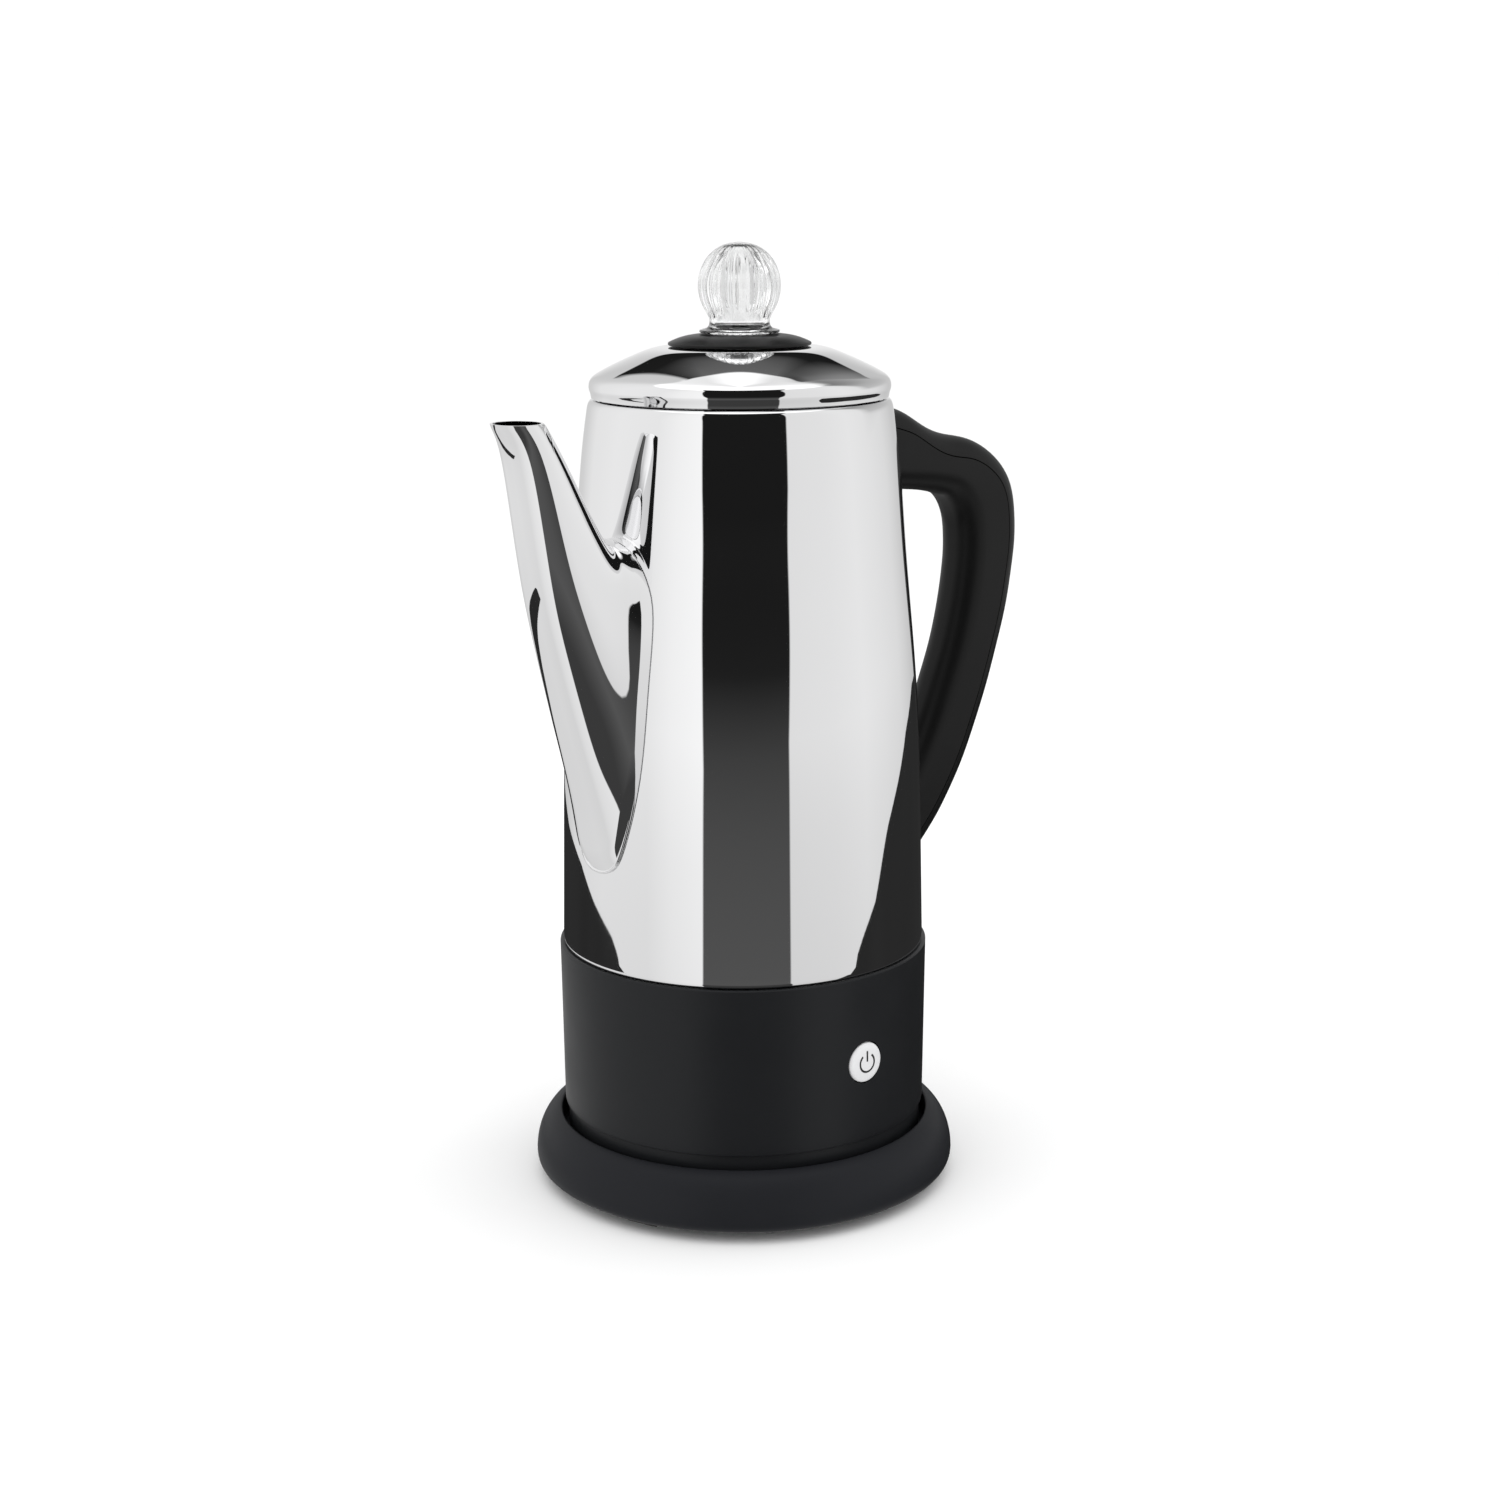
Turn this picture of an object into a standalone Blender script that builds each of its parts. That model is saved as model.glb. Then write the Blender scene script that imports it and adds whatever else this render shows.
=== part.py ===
"""Cordless electric coffee percolator on its power base.

Outlines and places below are in millimetres and are scaled to metres when a mesh is made.
+Z is up, the spout points to -X, the handle to +X and the power button to -Y.
The origin is the middle of the base's underside; the four feet reach just below it.
"""

import math

import bmesh
import bpy
import numpy as np
from mathutils import Matrix, Vector

MM = 0.001
GAP = 0.4                     # space kept between pieces that touch on the real object
BIG_ROUND = 32                # segments of the pot, the lid and the base
MID_ROUND = 24
SMALL_ROUND = 12
TINY_ROUND = 8

# Base
FOOT_BOTTOM = -3.0
FOOT_RING = 66.0              # distance of the feet from the axis
FOOT_TURN = 18.0              # degrees, first foot
CROWN_CENTRE = (66.5, 5.1)    # centre of the quarter ellipse that shapes the base's crown
CROWN_WIDTH = 11.1
CROWN_HEIGHT = 16.3
BASE_WALL = 2.2
RECESS_RADIUS = 67.8
RECESS_FLOOR = 12.0
FLOOR_THICKNESS = 2.0
PLATE_RADIUS = 70.4
PLATE_RING = -0.6             # lower face of the plate's outer ring
PLATE_TOP = 2.0
LABEL_RADIUS = 45.0           # flat middle of the underside, at z = 0
BASE_SCREW_RING = 56.0
TOWER_RADIUS = 13.0
TOWER_TOP = 24.0
INLET_ANGLE = 90.0
INLET_HEIGHT = 9.0

# Pot
STEEL_WALL = 1.0
POT_FLOOR = 60.5              # underside of the steel floor
WELL_RADIUS = 19.9
WELL_BOTTOM = 51.5
NECK_RADIUS = 64.7            # steel wall inside the black shell
SHELL_TOP = 86.3
SHELL_TOP_RADIUS = 67.3
SHELL_BOTTOM = 25.3
SHELL_BOTTOM_RADIUS = 66.6
SKIRT_RADIUS = 65.4           # part of the shell that nests in the base
SKIRT_BOTTOM = RECESS_FLOOR + GAP
COVER_SCREW_RING = 59.2
POT_LINE = [                  # outer radius and height of the steel wall, bottom to top
    (66.0, 88.0), (65.7, 103.0), (65.3, 122.0), (64.9, 147.0), (64.1, 166.0),
    (62.8, 184.0), (61.3, 204.0), (59.4, 225.0), (57.7, 241.0), (56.5, 259.0),
    (55.3, 272.0), (54.0, 280.0),
]
STRAINER_HOLE = 1.9           # radius of the holes that lead to the spout
STRAINER_ROWS = (186.0, 195.0, 204.0)
STRAINER_TURNS = (-12.8, -6.4, 0.0, 6.4, 12.8)
RIM_TOP = 283.4
RIM_INNER = 49.4

# Power button
BUTTON_HEIGHT = 54.5
BUTTON_RADIUS = 7.3
BUTTON_FACE = 66.9            # distance of the button's origin from the axis

# Spout, in the plane y = 0, from the pot to the mouth
SPOUT_FRONT = [
    (-65.7, 122.5), (-70.5, 147.0), (-77.0, 172.0), (-84.5, 200.5),
    (-90.3, 226.0), (-95.0, 254.5), (-98.9, 272.0), (-103.4, 280.4),
]
SPOUT_BACK = [
    (-58.2, 237.5), (-62.4, 238.4), (-66.5, 240.6), (-74.3, 254.5), (-82.7, 270.0), (-88.0, 280.4),
]
SPOUT_ROOT_WIDTH = [          # height on the pot and half width of the opening there
    (122.5, 0.0), (124.0, 7.5), (129.5, 10.6), (135.0, 12.6), (147.0, 16.0), (158.0, 18.1),
    (175.0, 19.6), (204.0, 20.6), (212.0, 20.4), (219.0, 19.4), (226.0, 17.2), (232.5, 12.4),
    (236.0, 7.6), (237.5, 0.0),
]
MOUTH_HALF_WIDTH = 8.5
SPOUT_FULLNESS = 1.25         # above 1 the spout stays wide further up
SPOUT_WALL = 1.0
SPOUT_STATIONS = 10
SPOUT_POINTS = 24

# Handle, in the plane y = 0: outer point and inner point of each cross-section
HANDLE_SECTIONS = [
    ((50.0, 281.5), (50.0, 246.3)), ((66.0, 277.0), (66.0, 245.8)),
    ((75.7, 273.7), (77.0, 244.9)), ((86.0, 268.2), (86.0, 243.8)),
    ((97.5, 264.3), (93.5, 242.4)), ((110.3, 261.6), (98.6, 240.7)),
    ((122.3, 255.3), (102.3, 237.2)), ((130.4, 246.6), (104.6, 233.0)),
    ((134.0, 236.0), (105.9, 227.5)), ((134.9, 223.4), (106.2, 219.0)),
    ((133.7, 211.6), (105.4, 211.0)), ((130.8, 196.0), (103.3, 199.5)),
    ((126.1, 180.5), (99.3, 184.5)), ((120.8, 165.1), (94.2, 171.5)),
    ((114.4, 149.9), (88.0, 157.0)), ((107.0, 134.8), (81.0, 143.7)),
    ((97.5, 120.2), (74.0, 133.0)), ((86.8, 107.9), (66.0, 122.4)),
    ((62.0, 83.0), (50.0, 104.0)),
]
HANDLE_HALF_WIDTH = (11.0, 9.6)     # at the top and at the bottom
HANDLE_CORNER = 8.6
COVER_DEPTH = 8.0                   # depth of the cover piece along the handle's back
TOP_SCREW_X = 66.0
BOTTOM_SCREW_Z = 110.0

# Lid and knob
LID_LINE = [                  # outer radius and height of the lid, edge to seat
    (52.4, 283.9), (52.7, 285.5), (53.2, 287.0), (53.15, 288.3), (52.8, 289.7), (51.8, 291.1),
    (47.3, 293.8), (41.9, 296.5), (34.9, 299.3), (31.0, 300.7), (28.0, 301.2),
]
LID_WALL = 0.9
LID_SKIRT_RADIUS = 48.9
LID_SKIRT_BOTTOM = 270.0
LID_HOLE = 11.6
LID_SEAT = 301.2
KNOB_STEM = 10.6
KNOB_STEM_BOTTOM = 290.0
KNOB_LINE = [                 # outer radius and height of the glass above its flange
    (10.9, 308.2), (10.5, 309.5), (10.8, 311.2), (12.0, 313.0), (13.3, 316.0), (14.2, 319.0),
    (14.5, 322.0), (14.2, 325.2), (13.3, 328.2), (11.7, 331.2), (9.3, 333.8), (6.2, 335.8),
    (3.0, 336.7), (0.0, 337.0),
]
KNOB_WIDEST = (14.5, 322.0)
KNOB_WALL = 1.6

# Pump, basket and spreader
TUBE_RADIUS = 4.2
TUBE_BORE = 3.4
TUBE_FOOT = 58.0
TUBE_TOP = 303.0
COLLAR_TOP = 211.6
BASKET_RADIUS = 45.4
BASKET_BOTTOM = 212.1
BASKET_TOP = 258.0
SPREADER_RADIUS = 46.8
SPREADER_BOTTOM = BASKET_TOP + 0.45


def remove_everything():
    for item in list(bpy.data.objects):
        bpy.data.objects.remove(item, do_unlink=True)


def material(name, colour, roughness, metallic, transmission=0.0):
    made = bpy.data.materials.new(name)
    made.use_nodes = True
    shader = made.node_tree.nodes["Principled BSDF"]
    shader.inputs["Base Color"].default_value = (*colour, 1.0)
    shader.inputs["Roughness"].default_value = roughness
    shader.inputs["Metallic"].default_value = metallic
    shader.inputs["Transmission Weight"].default_value = transmission
    return made


def add_mesh(name, corners, faces, finish, place=None):
    """Make one object from corners in millimetres, faces turned outward."""
    mesh = bpy.data.meshes.new(name)
    mesh.from_pydata([Vector(corner) * MM for corner in corners], [], faces)
    work = bmesh.new()
    work.from_mesh(mesh)
    bmesh.ops.recalc_face_normals(work, faces=work.faces)
    work.to_mesh(mesh)
    work.free()
    mesh.shade_smooth()
    mesh.set_sharp_from_angle(angle=math.radians(32))
    if finish:
        mesh.materials.append(finish)
    item = bpy.data.objects.new(name, mesh)
    bpy.context.scene.collection.objects.link(item)
    if place:
        item.matrix_world = place
    return item


def turned(name, outline, finish, segments, place=None):
    """Turn a closed outline of (radius, height) points about the Z axis."""
    corners = []
    rings = []
    for radius, height in outline:
        if radius == 0.0:
            rings.append([len(corners)])
            corners.append((0.0, 0.0, height))
            continue
        ring = []
        for step in range(segments):
            angle = 2 * math.pi * step / segments
            ring.append(len(corners))
            corners.append((radius * math.cos(angle), radius * math.sin(angle), height))
        rings.append(ring)
    faces = []
    for lower, upper in zip(rings, rings[1:] + rings[:1]):
        faces += band(lower, upper, segments)
    return add_mesh(name, corners, faces, finish, place)


def band(lower, upper, segments):
    """Faces between two rings; either ring may be a single point on the axis."""
    if len(lower) == 1 and len(upper) == 1:
        return []
    faces = []
    for step in range(segments):
        after = (step + 1) % segments
        if len(lower) == 1:
            faces.append((lower[0], upper[after], upper[step]))
        elif len(upper) == 1:
            faces.append((lower[step], lower[after], upper[0]))
        else:
            faces.append((lower[step], lower[after], upper[after], upper[step]))
    return faces


def lofted(name, loops, finish, capped=True):
    """Skin loops of equal length; open lofts join the last loop back to the first."""
    count = len(loops[0])
    corners = [corner for loop in loops for corner in loop]
    rings = [list(range(k * count, (k + 1) * count)) for k in range(len(loops))]
    faces = []
    following = rings[1:] if capped else rings[1:] + rings[:1]
    for lower, upper in zip(rings, following):
        faces += band(lower, upper, count)
    if capped:
        faces += [tuple(reversed(rings[0])), tuple(rings[-1])]
    return add_mesh(name, corners, faces, finish)


def extruded(name, outline, half_width, finish):
    """Extrude an outline in the plane y = 0 to both sides of it."""
    loops = [[(x, side, z) for x, z in outline] for side in (-half_width, half_width)]
    return lofted(name, loops, finish)


def box(name, low, high, finish):
    outline = [(low[0], low[2]), (high[0], low[2]), (high[0], high[2]), (low[0], high[2])]
    loops = [[(x, y, z) for x, z in outline] for y in (low[1], high[1])]
    return lofted(name, loops, finish)


def pin(name, radius, low, high, finish, place=None, segments=SMALL_ROUND):
    return turned(name, [(0.0, low), (radius, low), (radius, high), (0.0, high)], finish, segments, place)


def many_pins(name, radius, low, high, places, segments):
    """Several pins in one mesh, to cut many holes at once."""
    corners = []
    faces = []
    for place in places:
        first = len(corners)
        for height in (low, high):
            for step in range(segments):
                angle = 2 * math.pi * step / segments
                corner = Vector((radius * math.cos(angle), radius * math.sin(angle), height))
                corners.append(place @ (corner * MM) / MM)
        lower = list(range(first, first + segments))
        upper = list(range(first + segments, first + 2 * segments))
        faces += band(lower, upper, segments) + [tuple(reversed(lower)), tuple(upper)]
    return add_mesh(name, corners, faces, None)


def ring_outline(inner, outer, low, high):
    return [(inner, low), (outer, low), (outer, high), (inner, high)]


def at_polar(radius, angle, height=0.0):
    """Place a piece beside the Z axis, turned to face outward along local X."""
    turn = Matrix.Rotation(math.radians(angle), 4, "Z")
    return turn @ Matrix.Translation(Vector((radius, 0.0, height)) * MM)


def along_radius(angle, height):
    """Place a turned piece so that its axis runs outward from the Z axis."""
    turn = Matrix.Rotation(math.radians(angle), 4, "Z")
    lift = Matrix.Translation(Vector((0.0, 0.0, height)) * MM)
    return lift @ turn @ Matrix.Rotation(math.radians(90), 4, "Y")


def combine(item, tool, operation):
    tool.hide_render = True
    tool.display_type = "WIRE"
    change = item.modifiers.new(tool.name, "BOOLEAN")
    change.operation = operation
    change.solver = "EXACT"
    change.object = tool


def cut(item, tool):
    combine(item, tool, "DIFFERENCE")


def join(item, tool):
    combine(item, tool, "UNION")


def drill(item, label, steps, place, segments=SMALL_ROUND):
    """Cut a stepped round hole; steps are (radius, low, high) from one end to the other.

    The cutter is twisted a little, so that its corners stay off the edges of the piece.
    """
    outline = [(0.0, steps[0][1])]
    for radius, low, high in steps:
        outline += [(radius, low), (radius, high)]
    outline.append((0.0, steps[-1][2]))
    twist = Matrix.Rotation(math.radians(7), 4, "Z")
    cut(item, turned(f"cutter_{label}", outline, None, segments, place @ twist))


def wire(name, points, radius, finish, sides=2):
    """Round wire through points, as a curve with filled caps."""
    curve = bpy.data.curves.new(name, "CURVE")
    curve.dimensions = "3D"
    curve.bevel_depth = radius * MM
    curve.bevel_resolution = sides
    curve.use_fill_caps = True
    spline = curve.splines.new("POLY")
    spline.points.add(len(points) - 1)
    for target, point in zip(spline.points, points):
        target.co = (*(Vector(point) * MM), 1.0)
    curve.materials.append(finish)
    item = bpy.data.objects.new(name, curve)
    bpy.context.scene.collection.objects.link(item)
    return item


def curve_point(points, share):
    """Point at a share, from 0 to 1, of a Catmull-Rom curve through the given points."""
    position = share * (len(points) - 1)
    part = min(int(position), len(points) - 2)
    t = position - part
    given = [np.array(point, dtype=float) for point in points]
    given = [2 * given[0] - given[1]] + given + [2 * given[-1] - given[-2]]
    a, b, c, d = given[part:part + 4]
    return 0.5 * (2 * b + (c - a) * t + (2 * a - 5 * b + 4 * c - d) * t ** 2
                  + (3 * b - a - 3 * c + d) * t ** 3)


def pot_radius(height):
    heights = [z for _, z in POT_LINE]
    radii = [r for r, _ in POT_LINE]
    return float(np.interp(height, heights, radii))


# ---------------------------------------------------------------- base

def crown(inset, start_radius, count):
    """Quarter ellipse of the base's crown, from start_radius to its widest point."""
    width = CROWN_WIDTH - inset
    height = CROWN_HEIGHT - inset
    start = math.asin((start_radius - CROWN_CENTRE[0]) / width)
    angles = np.linspace(start, math.pi / 2, count)
    middle, bottom = CROWN_CENTRE
    return [(middle + width * math.sin(a), bottom + height * math.cos(a)) for a in angles]


def build_base(black, rubber, steel, brass):
    floor_underside = RECESS_FLOOR - FLOOR_THICKNESS
    inner_wall = RECESS_RADIUS + BASE_WALL
    outside = crown(0.0, RECESS_RADIUS + 0.8, 7)
    inside = crown(BASE_WALL, inner_wall, 4)
    outline = [(RECESS_RADIUS, RECESS_FLOOR), (RECESS_RADIUS, outside[0][1] - 0.7)] + outside
    outline += [(77.1, 3.0), (75.8, 1.3), (73.5, 0.2), (PLATE_RADIUS + GAP, -0.3)]
    outline += [(PLATE_RADIUS + GAP, PLATE_TOP + GAP), (74.6, 2.8)] + inside[::-1]
    outline += [(inner_wall, floor_underside), (TOWER_RADIUS + GAP, floor_underside)]
    outline += [(TOWER_RADIUS + GAP, RECESS_FLOOR)]
    housing = turned("base_housing", outline, black, BIG_ROUND)

    plate_outline = [
        (0.0, 0.0), (LABEL_RADIUS, 0.0), (LABEL_RADIUS, PLATE_RING), (PLATE_RADIUS, PLATE_RING),
        (PLATE_RADIUS, PLATE_TOP), (0.0, PLATE_TOP),
    ]
    plate = turned("base_bottom_plate", plate_outline, black, BIG_ROUND)

    screw_outline = [
        (0.0, PLATE_RING + 0.2), (3.0, PLATE_RING + 0.2), (3.0, 0.8), (1.4, 0.8), (1.4, 8.2), (0.0, 8.2),
    ]
    boss_low = PLATE_TOP + GAP
    boss_top = floor_underside + 0.6
    for number in range(3):
        place = at_polar(BASE_SCREW_RING, 120.0 * number)
        join(housing, pin(f"cutter_base_boss_{number}", 3.6, boss_low, boss_top, None, place))
        drill(housing, f"base_bore_{number}", [(1.8, 0.0, 8.8)], place)
        drill(plate, f"plate_hole_{number}", [(3.5, -1.0, 1.2), (1.9, 1.2, 3.0)], place)
        turned(f"base_screw_{number + 1}", screw_outline, steel, SMALL_ROUND, place)

    drill(housing, "inlet", [(5.2, 71.0, 90.0)], along_radius(INLET_ANGLE, INLET_HEIGHT))
    grommet = [(3.3, 71.5), (4.8, 71.5), (4.8, 77.9), (6.4, 77.9), (6.2, 79.0), (3.3, 79.2)]
    turned("cord_grommet", grommet, rubber, SMALL_ROUND, along_radius(INLET_ANGLE, INLET_HEIGHT))

    for number in range(4):
        foot = [
            (-5.0, FOOT_BOTTOM + 0.3), (-4.6, FOOT_BOTTOM), (2.6, FOOT_BOTTOM), (3.0, FOOT_BOTTOM + 0.3),
            (3.0, PLATE_RING - 0.35), (-5.0, PLATE_RING - 0.35),
        ]
        pad = extruded(f"foot_{number + 1}", foot, 6.0, rubber)
        pad.matrix_world = at_polar(FOOT_RING, FOOT_TURN + 90.0 * number)

    slot_bottom = 14.5
    tower = [
        (0.0, 7.0), (17.0, 7.0), (17.0, floor_underside - GAP), (TOWER_RADIUS, floor_underside - GAP),
        (TOWER_RADIUS, TOWER_TOP - 0.6), (TOWER_RADIUS - 0.6, TOWER_TOP), (7.6, TOWER_TOP),
        (7.6, slot_bottom), (5.9, slot_bottom), (5.9, TOWER_TOP), (2.0, TOWER_TOP), (2.0, slot_bottom),
        (0.0, slot_bottom),
    ]
    turned("base_connector", tower, black, MID_ROUND)
    collar = ring_outline(TOWER_RADIUS + 0.5, 17.0, RECESS_FLOOR + GAP, 15.0)
    turned("swivel_collar", collar, brass, MID_ROUND)


# ---------------------------------------------------------------- pot

def build_pot_body(steel):
    outer = [
        (0.0, WELL_BOTTOM), (WELL_RADIUS - 0.9, WELL_BOTTOM), (WELL_RADIUS, WELL_BOTTOM + 0.9),
        (WELL_RADIUS, POT_FLOOR - 0.9), (WELL_RADIUS + 0.9, POT_FLOOR), (62.2, POT_FLOOR),
        (64.2, POT_FLOOR + 1.1), (NECK_RADIUS, POT_FLOOR + 3.3), (NECK_RADIUS, SHELL_TOP + 0.3),
        (65.9, SHELL_TOP + 0.6),
    ]
    rim_outer = [(53.4, 282.2), (52.2, RIM_TOP), (50.4, RIM_TOP), (RIM_INNER, 282.4)]
    rim_inner = [(50.4, 279.4), (50.7, 282.1), (51.7, 282.2), (52.6, 280.4)]
    inside = [(r - STEEL_WALL, z) for r, z in POT_LINE[::2]][::-1]
    neck_inside = NECK_RADIUS - STEEL_WALL
    well_inside = WELL_RADIUS - STEEL_WALL
    bottom = [
        (neck_inside, SHELL_TOP + 0.9), (neck_inside, POT_FLOOR + 3.7), (63.2, POT_FLOOR + 1.8),
        (61.8, POT_FLOOR + 1.0), (WELL_RADIUS + 1.2, POT_FLOOR + 1.0), (well_inside, POT_FLOOR - 0.4),
        (well_inside, WELL_BOTTOM + 1.7), (well_inside - 0.6, WELL_BOTTOM + 1.0), (0.0, WELL_BOTTOM + 1.0),
    ]
    outline = outer + POT_LINE + rim_outer + [(RIM_INNER, 279.4)] + rim_inner + inside + bottom
    pot = turned("jug_body", outline, steel, BIG_ROUND)
    places = [along_radius(180.0 + turn, height) for height in STRAINER_ROWS for turn in STRAINER_TURNS]
    cut(pot, many_pins("cutter_strainer", STRAINER_HOLE, 50.0, 72.0, places, TINY_ROUND))
    return pot


def spout_point(t, turn):
    """Point on the spout's outside: t from pot to mouth, turn once round from the front ridge."""
    front = Vector(curve_point(SPOUT_FRONT, t))
    back = Vector(curve_point(SPOUT_BACK, t))
    along = (1 - math.cos(turn)) / 2
    x, z = front.lerp(back, along)
    root_heights, root_widths = zip(*SPOUT_ROOT_WIDTH)
    root_z = root_heights[0] + (root_heights[-1] - root_heights[0]) * along
    root_width = float(np.interp(root_z, root_heights, root_widths))
    narrowing = t ** SPOUT_FULLNESS
    half_width = (1 - narrowing) * root_width + narrowing * MOUTH_HALF_WIDTH * abs(math.sin(turn))
    y = half_width if turn <= math.pi else -half_width
    if t == 0.0:
        x, z = on_pot(root_z, y)
    return Vector((x, y, z))


def on_pot(height, y):
    reach = pot_radius(height) + GAP
    return -math.sqrt(reach ** 2 - y ** 2), height


def build_spout(steel):
    outer = []
    for station in range(SPOUT_STATIONS):
        t = station / (SPOUT_STATIONS - 1)
        outer.append([spout_point(t, 2 * math.pi * k / SPOUT_POINTS) for k in range(SPOUT_POINTS)])
    inner = [[] for _ in outer]
    for station, loop in enumerate(outer):
        nearer = outer[max(station - 1, 0)]
        further = outer[min(station + 1, SPOUT_STATIONS - 1)]
        for k, point in enumerate(loop):
            round_way = loop[(k + 1) % SPOUT_POINTS] - loop[k - 1]
            long_way = further[k] - nearer[k]
            inward = round_way.cross(long_way).normalized() * -SPOUT_WALL
            moved = point + inward
            if station == 0:
                moved.x = on_pot(moved.z, moved.y)[0]
            if station == SPOUT_STATIONS - 1:
                moved.z = point.z
            inner[station].append(moved)
    return lofted("spout", outer + inner[::-1], steel, capped=False)


def build_shell(black, steel):
    shell_outline = [
        (SHELL_TOP_RADIUS, SHELL_TOP - 0.5), (SHELL_TOP_RADIUS - 0.5, SHELL_TOP), (65.5, SHELL_TOP),
        (65.1, SHELL_TOP - 0.4), (65.1, 58.0), (64.4, 56.0), (64.4, 27.0), (63.2, 26.0),
        (63.2, SKIRT_BOTTOM), (SKIRT_RADIUS, SKIRT_BOTTOM), (SKIRT_RADIUS, SHELL_BOTTOM - 0.1),
        (66.2, SHELL_BOTTOM), (SHELL_BOTTOM_RADIUS, SHELL_BOTTOM + 0.5),
    ]
    shell = turned("lower_shell", shell_outline, black, BIG_ROUND)
    button_place = along_radius(-90.0, BUTTON_HEIGHT)
    drill(shell, "button", [(BUTTON_RADIUS + GAP, 60.0, 75.0)], button_place, MID_ROUND)
    cover = turned("bottom_cover", ring_outline(19.9, 62.8, 14.0, 16.2), black, BIG_ROUND)
    screw_outline = [(0.0, 12.9), (2.6, 12.9), (2.6, 13.6), (1.4, 13.6), (1.4, 23.6), (0.0, 23.6)]
    for number in range(3):
        place = at_polar(COVER_SCREW_RING, 90.0 + 120.0 * number)
        join(shell, pin(f"cutter_shell_post_{number}", 4.6, 16.7, 25.5, None, place))
        drill(shell, f"shell_bore_{number}", [(1.8, 10.0, 24.2)], place)
        drill(cover, f"cover_hole_{number}", [(1.9, 10.0, 18.0)], place)
        turned(f"cover_screw_{number + 1}", screw_outline, steel, SMALL_ROUND, place)


def build_heater(aluminium, steel, black, brass, white, red):
    heating_plate = ring_outline(WELL_RADIUS + 1.4, 46.0, 56.8, POT_FLOOR - GAP)
    turned("heating_plate", heating_plate, aluminium, MID_ROUND)
    thermostat = [(0.0, 43.6), (4.0, 43.6), (4.0, 45.0), (10.0, 45.0), (10.0, 51.1), (0.0, 51.1)]
    turned("thermostat", thermostat, white, MID_ROUND)
    arc = [math.radians(angle) for angle in np.linspace(110.0, 430.0, 23)]
    loop = [(34.0 * math.cos(a), 34.0 * math.sin(a), 53.0) for a in arc]
    first = [(loop[0][0], loop[0][1], z) for z in (43.0, 47.0, 50.5)]
    last = [(loop[-1][0], loop[-1][1], z) for z in (50.5, 47.0, 43.0)]
    wire("heating_element", first + loop + last, 3.0, steel)
    fuse_middle = Matrix.Translation(Vector((-24.0, 0.0, 49.0)) * MM)
    lying = Matrix.Rotation(math.radians(90), 4, "X")
    pin("thermal_fuse", 2.0, -7.0, 7.0, brass, fuse_middle @ lying)
    box("switch_module", (-8.0, -61.2, 48.5), (8.0, -49.2, 59.5), black)

    jug_connector = [
        (19.5, 15.6), (19.5, 16.65), (23.0, 16.65), (23.0, 19.0), (19.5, 19.0), (19.5, 27.5), (0.0, 27.5),
        (0.0, 16.0), (1.4, 16.4), (1.4, 24.7), (6.25, 24.7), (6.25, 17.0), (7.25, 17.0), (7.25, 24.7),
        (14.2, 24.7), (14.2, 15.6),
    ]
    turned("jug_connector", jug_connector, black, MID_ROUND)
    lead_routes = {
        "lead_line": [(9, -4, 28.4), (12, -14, 33), (10, -34, 38), (5, -50, 42), (4, -55, 48)],
        "lead_neutral": [(-9, 4, 28.4), (-14, 14, 31), (-14, 26, 34), (-12, 31.5, 38), (-11.6, 32, 42.5)],
        "lead_earth": [(4, 10, 28.4), (8, 16, 32), (5, 16, 38), (2, 9, 40), (0, 3, 41.6)],
    }
    for (name, route), sleeve in zip(lead_routes.items(), (red, black, white)):
        wire(name, [curve_point(route, share) for share in np.linspace(0.0, 1.0, 11)], 1.0, sleeve)


def build_button(silver):
    outline = [
        (0.0, 0.9), (5.4, 0.75), (6.9, 0.35), (BUTTON_RADIUS, -0.2), (BUTTON_RADIUS, -1.3), (3.0, -1.3),
        (3.0, -3.6), (0.0, -3.6),
    ]
    place = Matrix.Translation(Vector((0.0, -BUTTON_FACE, BUTTON_HEIGHT)) * MM)
    turned("power_button", outline, silver, 24, place @ Matrix.Rotation(math.radians(90), 4, "X"))


# ---------------------------------------------------------------- handle

def handle_half_width(station):
    share = station / (len(HANDLE_SECTIONS) - 1)
    return HANDLE_HALF_WIDTH[0] + (HANDLE_HALF_WIDTH[1] - HANDLE_HALF_WIDTH[0]) * share


def half_section(depth, half_width, seam, towards_back):
    """Depth and side of the points on one half of a handle section, seam first."""
    corner = HANDLE_CORNER
    start = math.asin((corner - seam) / corner) if towards_back else 0.0
    arc = []
    for angle in np.linspace(start, math.pi / 2, 5):
        inset = corner - corner * math.sin(angle)
        side = half_width - corner + corner * math.cos(angle)
        arc.append((inset if towards_back else depth - inset, side))
    return arc if towards_back else [(seam, half_width)] + arc


def handle_loops(seam, towards_back):
    loops = []
    for station, (outer, inner) in enumerate(HANDLE_SECTIONS):
        outer = Vector((outer[0], 0.0, outer[1]))
        inner = Vector((inner[0], 0.0, inner[1]))
        depth = (inner - outer).length
        way = (inner - outer) / depth
        half = half_section(depth, handle_half_width(station), seam, towards_back)
        right = [outer + way * u + Vector((0.0, v, 0.0)) for u, v in half]
        left = [outer + way * u - Vector((0.0, v, 0.0)) for u, v in reversed(half)]
        loops.append(right + left)
    return loops


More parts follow.
